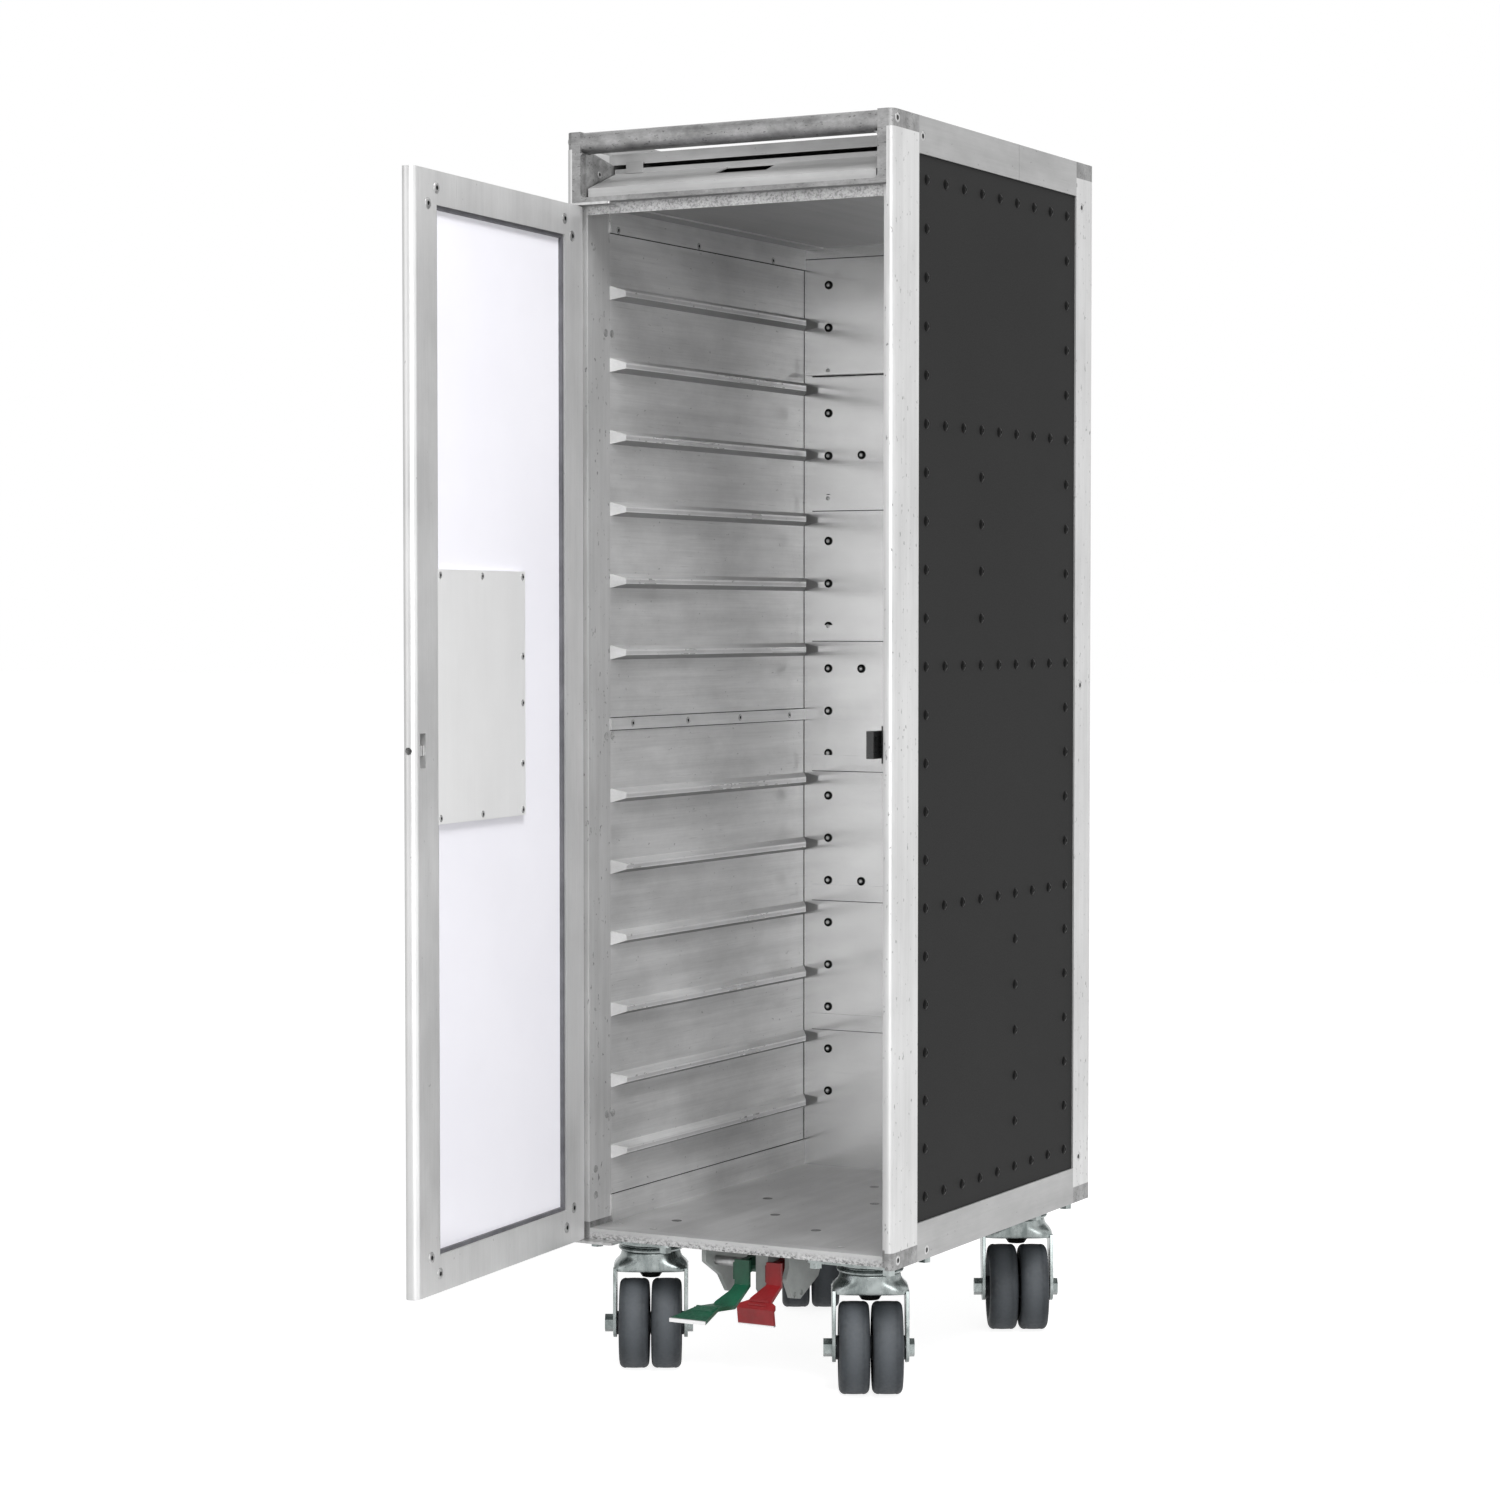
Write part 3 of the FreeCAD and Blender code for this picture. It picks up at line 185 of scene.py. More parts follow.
# line, streak, smudge and pit are sizes turned to cycles per metre: 1.5 mm lines are drawn coarser than
# real ones so that they show
sheet = {"grain": "Z", "line": 650, "drawn": 0.02, "streak": 110, "smudge": 16, "pit": 260,
         "pitStart": 0.70, "pitValue": 0.62,
         "lineDepth": 0.05, "streakDepth": 0.05, "rough": (0.34, 0.46), "bump": 0.08, "metallic": 0.6,
         # under and front: painted shade on faces turned downwards and faces turned to the front
         "under": 0.55, "front": 0.75}
sillLow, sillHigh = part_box("sill")
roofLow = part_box("roof_pan")[0]
metalLooks = {
    "postAluminium": {**sheet, "dark": "#CBCBCB", "light": "#D8D8D8", "pitStart": 0.66, "pitValue": 0.45,
                      "streakDepth": 0.08},
    "railAluminium": {**sheet, "grain": "Y", "dark": "#A0A0A0", "light": "#B4B4B4", "pitValue": 0.5,
                      "streakDepth": 0.08},
    "crossAluminium": {**sheet, "grain": "X", "dark": "#B4B4B4", "light": "#CCCCCC", "pitValue": 0.45,
                       "battered": [("Z", sillHigh[2] - 0.002, sillLow[2])]},
    "castAluminium": {**sheet, "grain": "X", "drawn": 0.5, "line": 420, "streak": 190, "smudge": 60,
                      "dark": "#808080", "light": "#ABABAB",
                      "lineDepth": 0.20, "streakDepth": 0.14, "pit": 420, "pitStart": 0.62,
                      "pitValue": 0.45, "bump": 0.35},
    "linerAluminium": {**sheet, "grain": "Y", "under": 0.38, "front": 0.55, "dark": "#D6D6D6",
                       "light": "#EEEEEE", "streak": 60, "streakDepth": 0.14, "lineDepth": 0.08,
                       "rough": (0.30, 0.44),
                       "bump": 0.12, "metallic": 0.7},
    "trayAluminium": {**sheet, "grain": "X", "dark": "#A4A4A4", "light": "#BEBEBE", "streakDepth": 0.10,
                      "pitValue": 0.5},
    "roofAluminium": {**sheet, "grain": "Y", "dark": "#B4B4B4", "light": "#D0D0D0", "streak": 60,
                      "streakDepth": 0.12,
                      "battered": [("Y", roofLow[1] + 0.012, roofLow[1] - 0.012)]},
    # painted highlight: near-white metal for the strips on the runner noses
    "paintedHighlightMetal": {**sheet, "grain": "Y", "dark": "#E6E6E6", "light": "#FAFAFA", "pitStart": 0.64,
                 "rough": (0.24, 0.36), "front": 0.9},
    "floorAluminium": {**sheet, "grain": "Y", "dark": "#A9A9A9", "light": "#C4C4C4", "streak": 60,
                       "streakDepth": 0.10, "rough": (0.3, 0.45)},
    "rearAluminium": {**sheet, "grain": "X", "dark": "#DADADA", "light": "#E4E4E4", "streak": 40,
                      "streakDepth": 0.03, "lineDepth": 0.02, "pitStart": 0.80, "pitValue": 0.8,
                      "rough": (0.12, 0.22), "metallic": 0.85},
    "doorAluminium": {**sheet, "dark": "#D8D8D8", "light": "#E4E4E4", "streakDepth": 0.03, "pitStart": 0.72,
                      "rough": (0.34, 0.44)},
    "coverAluminium": {**sheet, "smudge": 6, "metallic": 0.25, "dark": "#E6E6E6", "light": "#EDEDED",
                       "streakDepth": 0.01, "lineDepth": 0.012, "pitStart": 0.9, "pitValue": 0.9,
                       "rough": (0.40, 0.46), "bump": 0.02},
    "zincSteel": {**sheet, "drawn": 0.9, "line": 300, "smudge": 90, "dark": "#7E8685", "light": "#B4BBBA",
                  "pitStart": 0.72, "pitValue": 0.5, "rough": (0.20, 0.34), "metallic": 0.95},
    "screwSteel": {**sheet, "drawn": 0.9, "line": 700, "smudge": 120, "dark": "#A8A8A8", "light": "#D0D0D0",
                   "pitStart": 0.78, "metallic": 0.9},
}
finishes = {name: sheetMetal(name, look) for name, look in metalLooks.items()}


# Paint, plastic and rubber.
def coating(name, look):
    # paint, plastic or rubber: soft colour clouds, a fine grain in the gloss, worn spots where the base
    # shows
    mat = newMaterial(name)
    clouds = addNode(mat, "ShaderNodeTexNoise",
                     values={"Scale": look["cloud"], "Detail": 5.0, "Roughness": 0.6},
                     links={"Vector": mapped(mat, (1, 1, 1))})
    grain = addNode(mat, "ShaderNodeTexNoise", values={"Scale": look["grit"], "Detail": 2.0},
                    links={"Vector": mapped(mat, (1, 1, 1))})
    colour = rampNode(mat, clouds.outputs["Fac"],
                      [(0.3, linear(look["dark"])), (0.7, linear(look["light"]))]).outputs["Color"]
    metallic = None
    if "bare" in look:
        axis, start, end = look["bare"]
        mask = bandMask(mat, axis, start, end)
        bare = addNode(mat, "ShaderNodeRGB")
        bare.outputs[0].default_value = linear("#D5D5D5")
        colour = blendColour(mat, mask, colour, bare.outputs[0])
        metallic = mask
    if "marked" in look:
        mark = addNode(mat, "ShaderNodeAttribute", {"attribute_name": "mark"}).outputs["Fac"]
        spot = addNode(mat, "ShaderNodeRGB")
        spot.outputs[0].default_value = linear(look["marked"])
        colour = blendColour(mat, mark, colour, spot.outputs[0])
    rough = addNode(mat, "ShaderNodeMapRange",
                    values={"From Min": 0.3, "From Max": 0.7, "To Min": look["rough"][0],
                            "To Max": look["rough"][1]},
                    links={"Value": grain.outputs["Fac"]})
    bump = addNode(mat, "ShaderNodeBump", values={"Strength": look["bump"], "Distance": 0.0003},
                   links={"Height": grain.outputs["Fac"]})
    shader = addNode(mat, "ShaderNodeBsdfPrincipled",
                     values={"IOR": look["ior"], "Specular IOR Level": look.get("shine", 0.5),
                             "Metallic": look.get("metallic", 0.0)},
                     links={"Base Color": colour, "Roughness": rough.outputs["Result"],
                            "Normal": bump.outputs["Normal"]})
    if metallic:
        mat.node_tree.links.new(metallic, shader.inputs["Metallic"])
    return finishMaterial(mat, shader)


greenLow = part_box("green_pedal")[0]
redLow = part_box("red_pedal")[0]
coatLooks = {
    "panelPaint": {"cloud": 5, "grit": 900, "dark": "#1B1B1B", "light": "#1F1F1F", "rough": (0.55, 0.65),
                   "bump": 0.10, "ior": 1.45, "shine": 0.15},
    "rivetPaint": {"cloud": 60, "grit": 900, "dark": "#020202", "light": "#040404", "rough": (0.30, 0.40),
                   "bump": 0.05, "ior": 1.45, "shine": 0.12},
    "whiteLaminate": {"cloud": 2.2, "grit": 300, "dark": "#F0EFF6", "light": "#FAF9FF",
                      "rough": (0.10, 0.16), "bump": 0.02, "ior": 1.5},
    "gasketRubber": {"cloud": 40, "grit": 700, "dark": "#4A4A4E", "light": "#66666A", "rough": (0.5, 0.7),
                     "bump": 0.1, "ior": 1.5},
    "blackSteel": {"cloud": 30, "grit": 700, "dark": "#101010", "light": "#1C1C1C", "rough": (0.25, 0.4),
                   "bump": 0.1, "ior": 1.5},
    "wheelRubber": {"cloud": 70, "grit": 420, "dark": "#24272A", "light": "#34383C", "marked": "#4C5054",
                    "rough": (0.55, 0.75), "bump": 0.35, "ior": 1.5, "shine": 0.3},
    "bracketPaint": {"cloud": 30, "grit": 500, "dark": "#8A8E8C", "light": "#A6AAA8", "rough": (0.35, 0.5),
                     "bump": 0.1, "ior": 1.5},
    "redPaint": {"cloud": 60, "grit": 400, "dark": "#6A070C", "light": "#840F15", "rough": (0.35, 0.55),
                 "bump": 0.2, "ior": 1.5,
                 "bare": ("Z", redLow[2] + 0.0016, redLow[2] + 0.0010)},
    "greenPaint": {"cloud": 60, "grit": 400, "dark": "#013523", "light": "#034D34", "rough": (0.35, 0.55),
                   "bump": 0.2, "ior": 1.5,
                   "bare": ("Y", greenLow[1] + 0.0016, greenLow[1] + 0.0010)},
    "foamFill": {"cloud": 40, "grit": 600, "dark": "#C9B98F", "light": "#DDCFA6", "rough": (0.8, 0.9),
                 "bump": 0.2, "ior": 1.4},
    # painted shadow: the dark paint of the seam strips
    "seamShadowPaint": {"cloud": 60, "grit": 600, "dark": "#1A1A1A", "light": "#303030", "rough": (0.7, 0.8),
                  "bump": 0.1, "ior": 1.45, "shine": 0.2},
    # screws and rivet tails: bright metal, dark where the mark is 1; on the screw heads that dark is
    # painted shade in the sockets and crosses and round the rims
    "markedSteel": {"cloud": 200, "grit": 900, "dark": "#A6A6A6", "light": "#D6D6D6", "marked": "#0C0C0C",
                    "rough": (0.25, 0.4), "bump": 0.1, "ior": 1.5, "metallic": 0.8},
}
finishes.update({name: coating(name, look) for name, look in coatLooks.items()})

dress = {
    "postAluminium": ["post_front_left", "post_front_right", "rear_posts"],
    "railAluminium": ["rails"],
    "crossAluminium": ["sill", "top_deck"],
    "castAluminium": ["corner_castings", "handle_frame"],
    "linerAluminium": ["liners_upper", "liners_lower", "liner_joint_strips", "corner_angles", "base_plate"],
    "trayAluminium": ["ice_tray"],
    "roofAluminium": ["roof_pan"],
    "floorAluminium": ["floor_pan"],
    "rearAluminium": ["rear_liner", "rear_straps"],
    "doorAluminium": ["door_hinge_stile", "door_free_stile", "door_rails"],
    "coverAluminium": ["latch_cover"],
    "zincSteel": ["caster_heads", "caster_bolts"],
    "screwSteel": ["cabinet_screws", "door_screws", "hinge_plates", "pedal_shaft", "latch_bolt"],
    "panelPaint": ["side_panels", "rear_panel", "door_outer_skin"],
    "rivetPaint": ["panel_rivets"],
    "whiteLaminate": ["door_inner_skin"],
    "gasketRubber": ["door_gasket"],
    "blackSteel": ["door_keeper", "latch_housing", "latch_paddle", "brake_frame"],
    "bracketPaint": ["brake_brackets"],
    "redPaint": ["red_pedal"],
    "greenPaint": ["green_pedal"],
    "foamFill": ["wall_cores", "door_core"],
    "wheelRubber": [name for name in nodes if name.startswith("wheel")],
}
dress["zincSteel"] += [name for name in nodes if name.startswith(("fork", "axle"))]
for finish, names in dress.items():
    for name in names:
        nodes[name].data.materials.clear()
        nodes[name].data.materials.append(finishes[finish])
print("finishes on", sum(len(v) for v in dress.values()), "nodes")


# Surfaces built from rings and outlines.
def turnedSurface(profile, sides, closed=False):
    # each (height, radius, mark) row is turned about Z: x = r cos a, y = r sin a, z = height
    # the profile runs upwards on the outside; an open one ends in a pole, a closed one goes on round the
    # bore
    table = np.array(profile, float)
    angle = np.arange(sides) * 2 * pi / sides
    rings = np.stack([np.outer(table[:, 1], np.cos(angle)), np.outer(table[:, 1], np.sin(angle)),
                      np.repeat(table[:, :1], sides, 1)], axis=2)
    marks = np.repeat(table[:, 2], sides)
    return ringSurface(rings, marks, closed)


def ringSurface(rings, marks, closed):
    # quads between neighbouring rings, and a fan to the middle of the first and last ring where it is open
    count, sides = rings.shape[:2]
    a = np.arange(count if closed else count - 1)[:, None] * sides + np.arange(sides)[None, :]
    b = np.arange(count if closed else count - 1)[:, None] * sides + (np.arange(sides)[None, :] + 1) % sides
    total = count * sides
    faces = np.stack([a, b, (b + sides) % total, (a + sides) % total], axis=2).reshape(-1, 4).tolist()
    verts = rings.reshape(-1, 3)
    if not closed:
        verts = np.vstack([verts, rings[0].mean(axis=0), rings[-1].mean(axis=0)])
        low = np.stack([np.full(sides, total), b[0], a[0]], axis=1)
        high = np.stack([np.full(sides, total + 1), a[-1] + sides, b[-1] + sides], axis=1)
        faces += low.tolist() + high.tolist()
        marks = np.append(marks, [marks[0], marks[-1]])
    return verts, faces, marks


def plateSurface(outline, x0, x1):
    # an outline of (y, z) points, anticlockwise seen from +X, carried along X from x0 to x1
    flat = np.array(outline, float)
    count = len(flat)
    verts = np.vstack([np.column_stack([np.full(count, x), flat]) for x in (x0, x1)])
    step = np.arange(count)
    after = (step + 1) % count
    faces = np.stack([step, after, after + count, step + count], axis=1).tolist()
    return verts, faces + [step[::-1].tolist(), (step + count).tolist()], np.zeros(2 * count)


def placed(part, centre, axis, across=None):
    # local Z turned to the axis, local X to across, then moved to the centre
    verts, faces, marks = part
    w = np.array(axis, float) / np.linalg.norm(axis)
    if across is None:
        across = np.cross((0, 0, 1) if abs(w[2]) < 0.9 else (0, 1, 0), w)
    u = np.array(across, float) / np.linalg.norm(across)
    return verts @ np.stack([u, np.cross(w, u), w]) + np.array(centre), faces, marks


def gathered(parts):
    # several parts as one mesh
    faces = []
    start = 0
    for verts, own, _ in parts:
        faces += [[i + start for i in face] for face in own]
        start += len(verts)
    return np.vstack([p[0] for p in parts]), faces, np.concatenate([p[2] for p in parts])


def addPiece(name, part, finish, body, stands=(), sharp=35, bevel=None):
    verts, faces, marks = part
    mesh = bpy.data.meshes.new(name)
    mesh.from_pydata(verts.tolist(), [], faces)
    mesh.attributes.new("mark", "FLOAT", "POINT").data.foreach_set("value", marks.astype(np.float32))
    mesh.shade_smooth()
    mesh.set_sharp_from_angle(angle=radians(sharp))
    mesh.materials.append(finishes[finish])
    piece = bpy.data.objects.new(name, mesh)
    bpy.context.scene.collection.objects.link(piece)
    if bevel:
        rounding = piece.modifiers.new("rounding", "BEVEL")
        rounding.width = bevel
        rounding.segments = 2
        rounding.limit_method = "ANGLE"
        rounding.harden_normals = True
    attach(piece, body)
    if stands:
        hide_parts(*stands)
    return piece


# Rivets and screws.
rivets = {"radius": 0.00425, "height": 0.0015, "rows": 22, "columns": 9, "rowPitch": 0.039,
          "columnPitch": 0.0354, "fullRows": (0, 5, 10, 15, 21),
          "extra": {3: range(6, 10), 5: range(16, 21)}, "rearTop": 0.9765, "rearPitch": 0.0393,
          "rearEdge": 0.1109, "rearStep": 0.0342}


def scaledProfile(rows, radius, height):
    # rows given as shares of a height and a radius
    return [(h * height, r * radius, m) for h, r, m in rows]


def panelRivets(look):
    # pulled dome rivets: a low dome with the end of its pin sunk in the crown
    dome = turnedSurface(scaledProfile([(0, 1, 0), (0.3, 0.97, 0), (0.72, 0.78, 0), (1.0, 0.40, 0),
                                        (0.75, 0.30, 0)], look["radius"], look["height"]), 10)
    low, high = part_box("side_panels")
    y0 = (low[1] + high[1]) / 2 - look["columnPitch"] * (look["columns"] - 1) / 2
    z0 = (low[2] + high[2]) / 2 + look["rowPitch"] * (look["rows"] - 1) / 2
    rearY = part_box("rear_panel")[1][1]
    parts = []
    for row in range(look["rows"]):
        full = row in look["fullRows"]
        for column in range(look["columns"]):
            if full or column in (0, look["columns"] - 1) or row in look["extra"].get(column, ()):
                place = (y0 + column * look["columnPitch"], z0 - row * look["rowPitch"])
                parts += [placed(dome, (side * high[0], *place), (side, 0, 0)) for side in (-1, 1)]
        for x in rearColumns(look, full):
            parts.append(placed(dome, (x, rearY, look["rearTop"] - row * look["rearPitch"]), (0, 1, 0)))
    return gathered(parts)


def rearColumns(look, full):
    places = [look["rearEdge"] - step * look["rearStep"] for step in range(3 if full else 1)]
    return [x * side for x in places for side in (-1, 1)] + ([0.0] if full else [])


def rivetTails(look):
    # the crimped ends of the rear wall's rivets inside: a dark collar round a bright pin
    tail = turnedSurface([(0, 0.0041, 1), (0.0008, 0.0040, 1), (0.0012, 0.0030, 1), (0.0008, 0.0022, 1),
                          (0.0018, 0.0017, 0.5), (0.0022, 0.0011, 0)], 12)
    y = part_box("rear_liner")[0][1]
    parts = []
    for row in range(1, look["rows"] - 1):
        for x in rearColumns(look, row in look["fullRows"]):
            parts.append(placed(tail, (x, y, look["rearTop"] - row * look["rearPitch"]), (0, -1, 0)))
    return gathered(parts)


def headPlaces(node, heads):
    # centre, thin axis and radius of each of the equal small heads that make up one node
    mesh = nodes[node].data
    spots = np.empty(len(mesh.vertices) * 3)
    mesh.vertices.foreach_get("co", spots)
    corners = np.empty(len(mesh.loops), dtype=np.int32)
    mesh.loops.foreach_get("vertex_index", corners)
    points = spots.reshape(-1, 3)[corners].reshape(heads, -1, 3)
    centre = (points.min(axis=1) + points.max(axis=1)) / 2
    offset = points - centre[:, None, :]
    axis = np.linalg.svd(offset)[2][:, 2, :]
    radius = np.sqrt((offset ** 2).sum(axis=2)).max(axis=1)
    return centre, axis, radius


headHeight = 0.0003
screwRows = {
    # a countersunk head with a socket, and a low pan head with a cross that reads as a dark spot; the mark
    # column paints shade, dark round the rims and in the sockets and crosses, and the floor dimples are
    # dark all over
    "sunk": [(0, 1, 0.6), (0.7, 0.98, 0.3), (1.0, 0.88, 0), (1.0, 0.50, 0), (0.9, 0.44, 1), (0.4, 0.34, 1)],
    "dimple": [(0, 1, 0.75), (0.6, 0.94, 0.85), (0.3, 0.6, 0.8)],
    "bright": [(0, 1, 0.9), (0.7, 0.98, 0.2), (1.0, 0.88, 0), (1.2, 0.3, 0)],
    "pan": [(0, 1, 0.8), (0.8, 0.96, 0.1), (1.5, 0.80, 0), (1.9, 0.46, 0), (1.7, 0.36, 1), (1.1, 0.26, 1)],
}


def screwHeads(node, heads, rows, facing):
    centre, axis, radius = headPlaces(node, heads)
    parts = []
    for spot, direction, size in zip(centre, axis, radius):
        side = facing(spot)
        out = direction * np.sign(direction @ np.array(side))
        parts.append(placed(turnedSurface(scaledProfile(screwRows[rows], size, headHeight), 14),
                            spot - out * headHeight / 2, out))
    return gathered(parts)


def cabinetFacing(spot):
    # heads further out than the liners face outwards, the others face into the cabinet
    outside = abs(spot[0]) > 0.145
    return (np.sign(spot[0]) if outside else -np.sign(spot[0]), 0, 0)


addPiece("rivetHeads", panelRivets(rivets), "rivetPaint", "cabinet", ["panel_rivets"])
addPiece("rivetTails", rivetTails(rivets), "markedSteel", "cabinet")
addPiece("cabinetScrewHeads", screwHeads("cabinet_screws", 28, "sunk", cabinetFacing), "markedSteel",
         "cabinet", ["cabinet_screws"])
addPiece("doorScrewHeads", screwHeads("door_screws", 17, "pan", lambda spot: (1, 0, 0)), "markedSteel",
         "door", ["door_screws"])

jambScrews = {"radius": 0.0032, "pairs": (0.868, 0.531, 0.212), "edgeY": (-0.162, -0.152),
              "foot": ((-0.1803, 0.1682), (-0.1803, 0.1463)),
              "cheek": (-0.175, 0.998), "dimple": 0.0044, "sill": ((0.126, -0.160), (0.088, -0.168)),
              "floor": ((-0.09, -0.125), (-0.03, -0.06), (0.035, -0.11), (0.09, -0.04), (-0.075, 0.01),
                        (0.02, 0.03), (0.085, 0.07), (-0.02, 0.11))}


def smallScrews(look):
    # small flush screws on the jambs, the cheeks and the floor
    head = turnedSurface(scaledProfile(screwRows["sunk"], look["radius"], headHeight), 14)
    bright = turnedSurface(scaledProfile(screwRows["bright"], look["radius"], headHeight), 14)
    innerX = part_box("liner_joint_strips")[1][0]
    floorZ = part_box("floor_pan")[1][2]
    parts = []
    for side in (-1, 1):
        spots = [(y, z) for z in look["pairs"] for y in look["edgeY"]] + list(look["foot"])
        parts += [placed(bright, (side * innerX, y, z), (-side, 0, 0)) for y, z in spots]
        parts.append(placed(head, (side * (innerX - 0.002), *look["cheek"]), (-side, 0, 0)))
    dimple = turnedSurface(scaledProfile(screwRows["dimple"], look["dimple"], headHeight), 18)
    parts += [placed(dimple, (x, y, floorZ), (0, 0, 1)) for x, y in look["floor"]]
    parts += [placed(bright, (side * x, y, floorZ), (0, 0, 1)) for x, y in look["sill"] for side in (-1, 1)]
    return gathered(parts)


addPiece("smallScrewHeads", smallScrews(jambScrews), "markedSteel", "cabinet")
print("rivets and screws ready")

interior = {"edge": 0.0007, "proud": 0.0003, "runnerTop": 0.902, "runnerPitch": 0.0602, "runners": 13,
            "joint": 6, "reach": 0.0085, "taper": 0.013,
            "noseHalf": 0.0022, "angleRise": 0.050, "kickTop": 0.143, "foldDrop": 0.0012,
            "strapHalf": 0.1277, "sheet": 0.0008, "highlightThickness": 0.00015,
            "strapFeet": (0.7294, 0.6090, 0.4886, 0.3682, 0.2478, 0.8535)}


def slab(x0, x1, y0, y1, z0, z1):
    # a box given by its limits
    return plateSurface([(y0, z0), (y1, z0), (y1, z1), (y0, z1)], x0, x1)


def bothSides(x0, x1, y0, y1, z0, z1):
    return [slab(x0, x1, y0, y1, z0, z1), slab(-x1, -x0, y0, y1, z0, z1)]


def seamShadowStrips(look):
    # painted shadow: dark strips standing in for the shade in the seams: under the roof angles, along the
    # joint strips, under the rear straps and in the rear corners
    e, p = look["edge"], look["proud"]
    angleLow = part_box("corner_angles")[0]
    stripLow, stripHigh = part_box("liner_joint_strips")
    rearLow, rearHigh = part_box("rear_liner")
    wall = rearHigh[0]
    y0, y1 = angleLow[1], rearLow[1]
    parts = []
    for z in (look["runnerTop"] + look["angleRise"], stripLow[2], look["kickTop"] + e, stripHigh[2] + e):
        parts += bothSides(wall - p, wall, y0, y1, z - e, z)
    fold = roofLow[2] - look["foldDrop"]
    parts += bothSides(stripHigh[0] - 2 * p, stripHigh[0], y0, y1, fold - e, fold)
    parts += bothSides(wall - 0.6 * e, wall, y1 - p, y1, rearLow[2], fold)
    parts.append(slab(-wall, wall, y1 - p, y1, fold - e, fold))
    return gathered(parts + [slab(-look["strapHalf"], look["strapHalf"], y1 - p, y1, z - e,
                                  z) for z in look["strapFeet"]])


def runnerHighlightStrips(look):
    # painted highlight: bright strips above and below the nose of each runner, standing in for the light
    # the noses catch
    linerLow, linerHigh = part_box("liners_upper")
    x = linerHigh[0] - look["sheet"] - look["reach"]
    y0, y1 = linerLow[1] + look["taper"], linerHigh[1] - look["taper"]
    n = look["noseHalf"]
    parts = []
    for i in range(look["runners"]):
        if i != look["joint"]:
            z = look["runnerTop"] - i * look["runnerPitch"]
            for low, high in ((0.4, 1.0), (-1.0, -0.7)):
                parts += bothSides(x - look["highlightThickness"], x, y0, y1, z + low * n, z + high * n)
    return gathered(parts)


addPiece("seamShadowStrips", seamShadowStrips(interior), "seamShadowPaint", "cabinet")
addPiece("runnerHighlightStrips", runnerHighlightStrips(interior), "paintedHighlightMetal", "cabinet")
print("interior ready")


# Casters.
caster = {"trail": 0.010, "wheelRadius": 0.0375, "bore": 0.0041, "hub": 0.0098, "faces": (0.0011, 0.0259),
          "edge": 0.005,
          "hubEnd": 0.0280, "legIn": 0.0283, "legOut": 0.0313, "legEnd": 0.012}


def wheelSurface(look):
    # bore, hub boss, dished web, rounded shoulders and a slightly crowned tread; the mark is the worn band
    x0, x1 = look["faces"]
    r, c = look["wheelRadius"], look["edge"]
    arc = np.linspace(0, pi / 2, 6)
    left = [(x0 + c - c * cos(a), r - c + c * sin(a), 0.15 * a) for a in arc]
    tread = [(x0 + c + (x1 - x0 - 2 * c) * t, r - 0.0003 * (2 * t - 1) ** 2,
              1 - (2 * t - 1) ** 2 * 0.75) for t in np.linspace(0.05, 0.95, 9)]
    right = [(x0 + x1 - x, h, m) for x, h, m in left[::-1]]
    web = [(0.00015, look["hub"], 0), (x0 + c, look["hub"], 0), (x0 + c, 0.0235, 0),
           (x0 + 0.0010, 0.0268, 0), (x0, 0.0285, 0)]
    back = [(x1, 0.0285, 0), (x1 - 0.0010, 0.0268, 0), (x1 - c, 0.0235, 0), (x1 - c, look["hub"], 0),
            (look["hubEnd"], look["hub"], 0)]
    bore = [(look["hubEnd"], look["bore"], 0), (0.00015, look["bore"], 0)]
    return turnedSurface(web + left + tread + right + back + bore, 48, closed=True)


def bellSurface():
    # rounded outlines, x = hx sgn(cos a)|cos a|^(2/p) and y = hy sgn(sin a)|sin a|^(2/p), that grow from a
    # round neck to a squared skirt
    rows = np.array([
        (82.0, 31.3, 21.0, 4.6), (84.5, 31.3, 22.0, 4.6), (86.6, 31.0, 22.4, 4.0), (88.4, 30.0, 22.7, 3.4),
        (90.2, 28.4, 23.0, 2.9),
        (92.2, 26.6, 23.4, 2.4), (94.6, 25.4, 24.0, 2.1), (97.4, 24.8, 24.6, 2.0), (98.2, 24.2, 24.2, 2.0),
        (98.2, 9.0, 9.0, 2.0), (89.5, 9.0, 9.0, 2.0), (87.0, 20.0, 16.0, 2.4), (85.0, 28.0, 19.0, 4.6),
        (82.0, 28.3, 18.6, 4.6)])
    angle = np.arange(56) * 2 * pi / 56
    z, hx, hy, p = (rows[:, k:k + 1] for k in range(4))
    x = hx * np.sign(np.cos(angle)) * np.abs(np.cos(angle)) ** (2 / p)
    y = hy * np.sign(np.sin(angle)) * np.abs(np.sin(angle)) ** (2 / p)
    rings = np.stack([x, y, np.repeat(z, 56, axis=1)], axis=2) / 1000
    return ringSurface(rings, np.zeros(len(rows) * 56), True)


def legSurface(look, x0):
    # fork leg: tapers from the skirt to a round end about the axle
    r, y, z = look["legEnd"], -look["trail"], look["wheelRadius"]
    end = [(y + r * cos(a), z + r * sin(a)) for a in np.linspace(-pi, 0, 17)]
    return plateSurface(end + [(0.0150, 0.077), (0.0165, 0.0850), (-0.0175, 0.0850), (-0.0190, 0.077)], x0,
                        x0 + look["legOut"] - look["legIn"])


def headSurface():
    # raceway rings under the top plate: two rolled steps with a groove between
    rows = [(98.6, 8.6), (98.6, 25.4), (99.4, 26.8), (100.8, 27.4), (102.0, 26.6), (102.6, 25.0),
            (103.2, 24.8),
            (103.8, 26.0), (104.8, 27.5), (106.6, 27.5), (107.6, 26.4), (108.2, 26.2), (108.2, 8.6)]
    return turnedSurface([(h / 1000, r / 1000, 0) for h, r in rows], 48, closed=True)


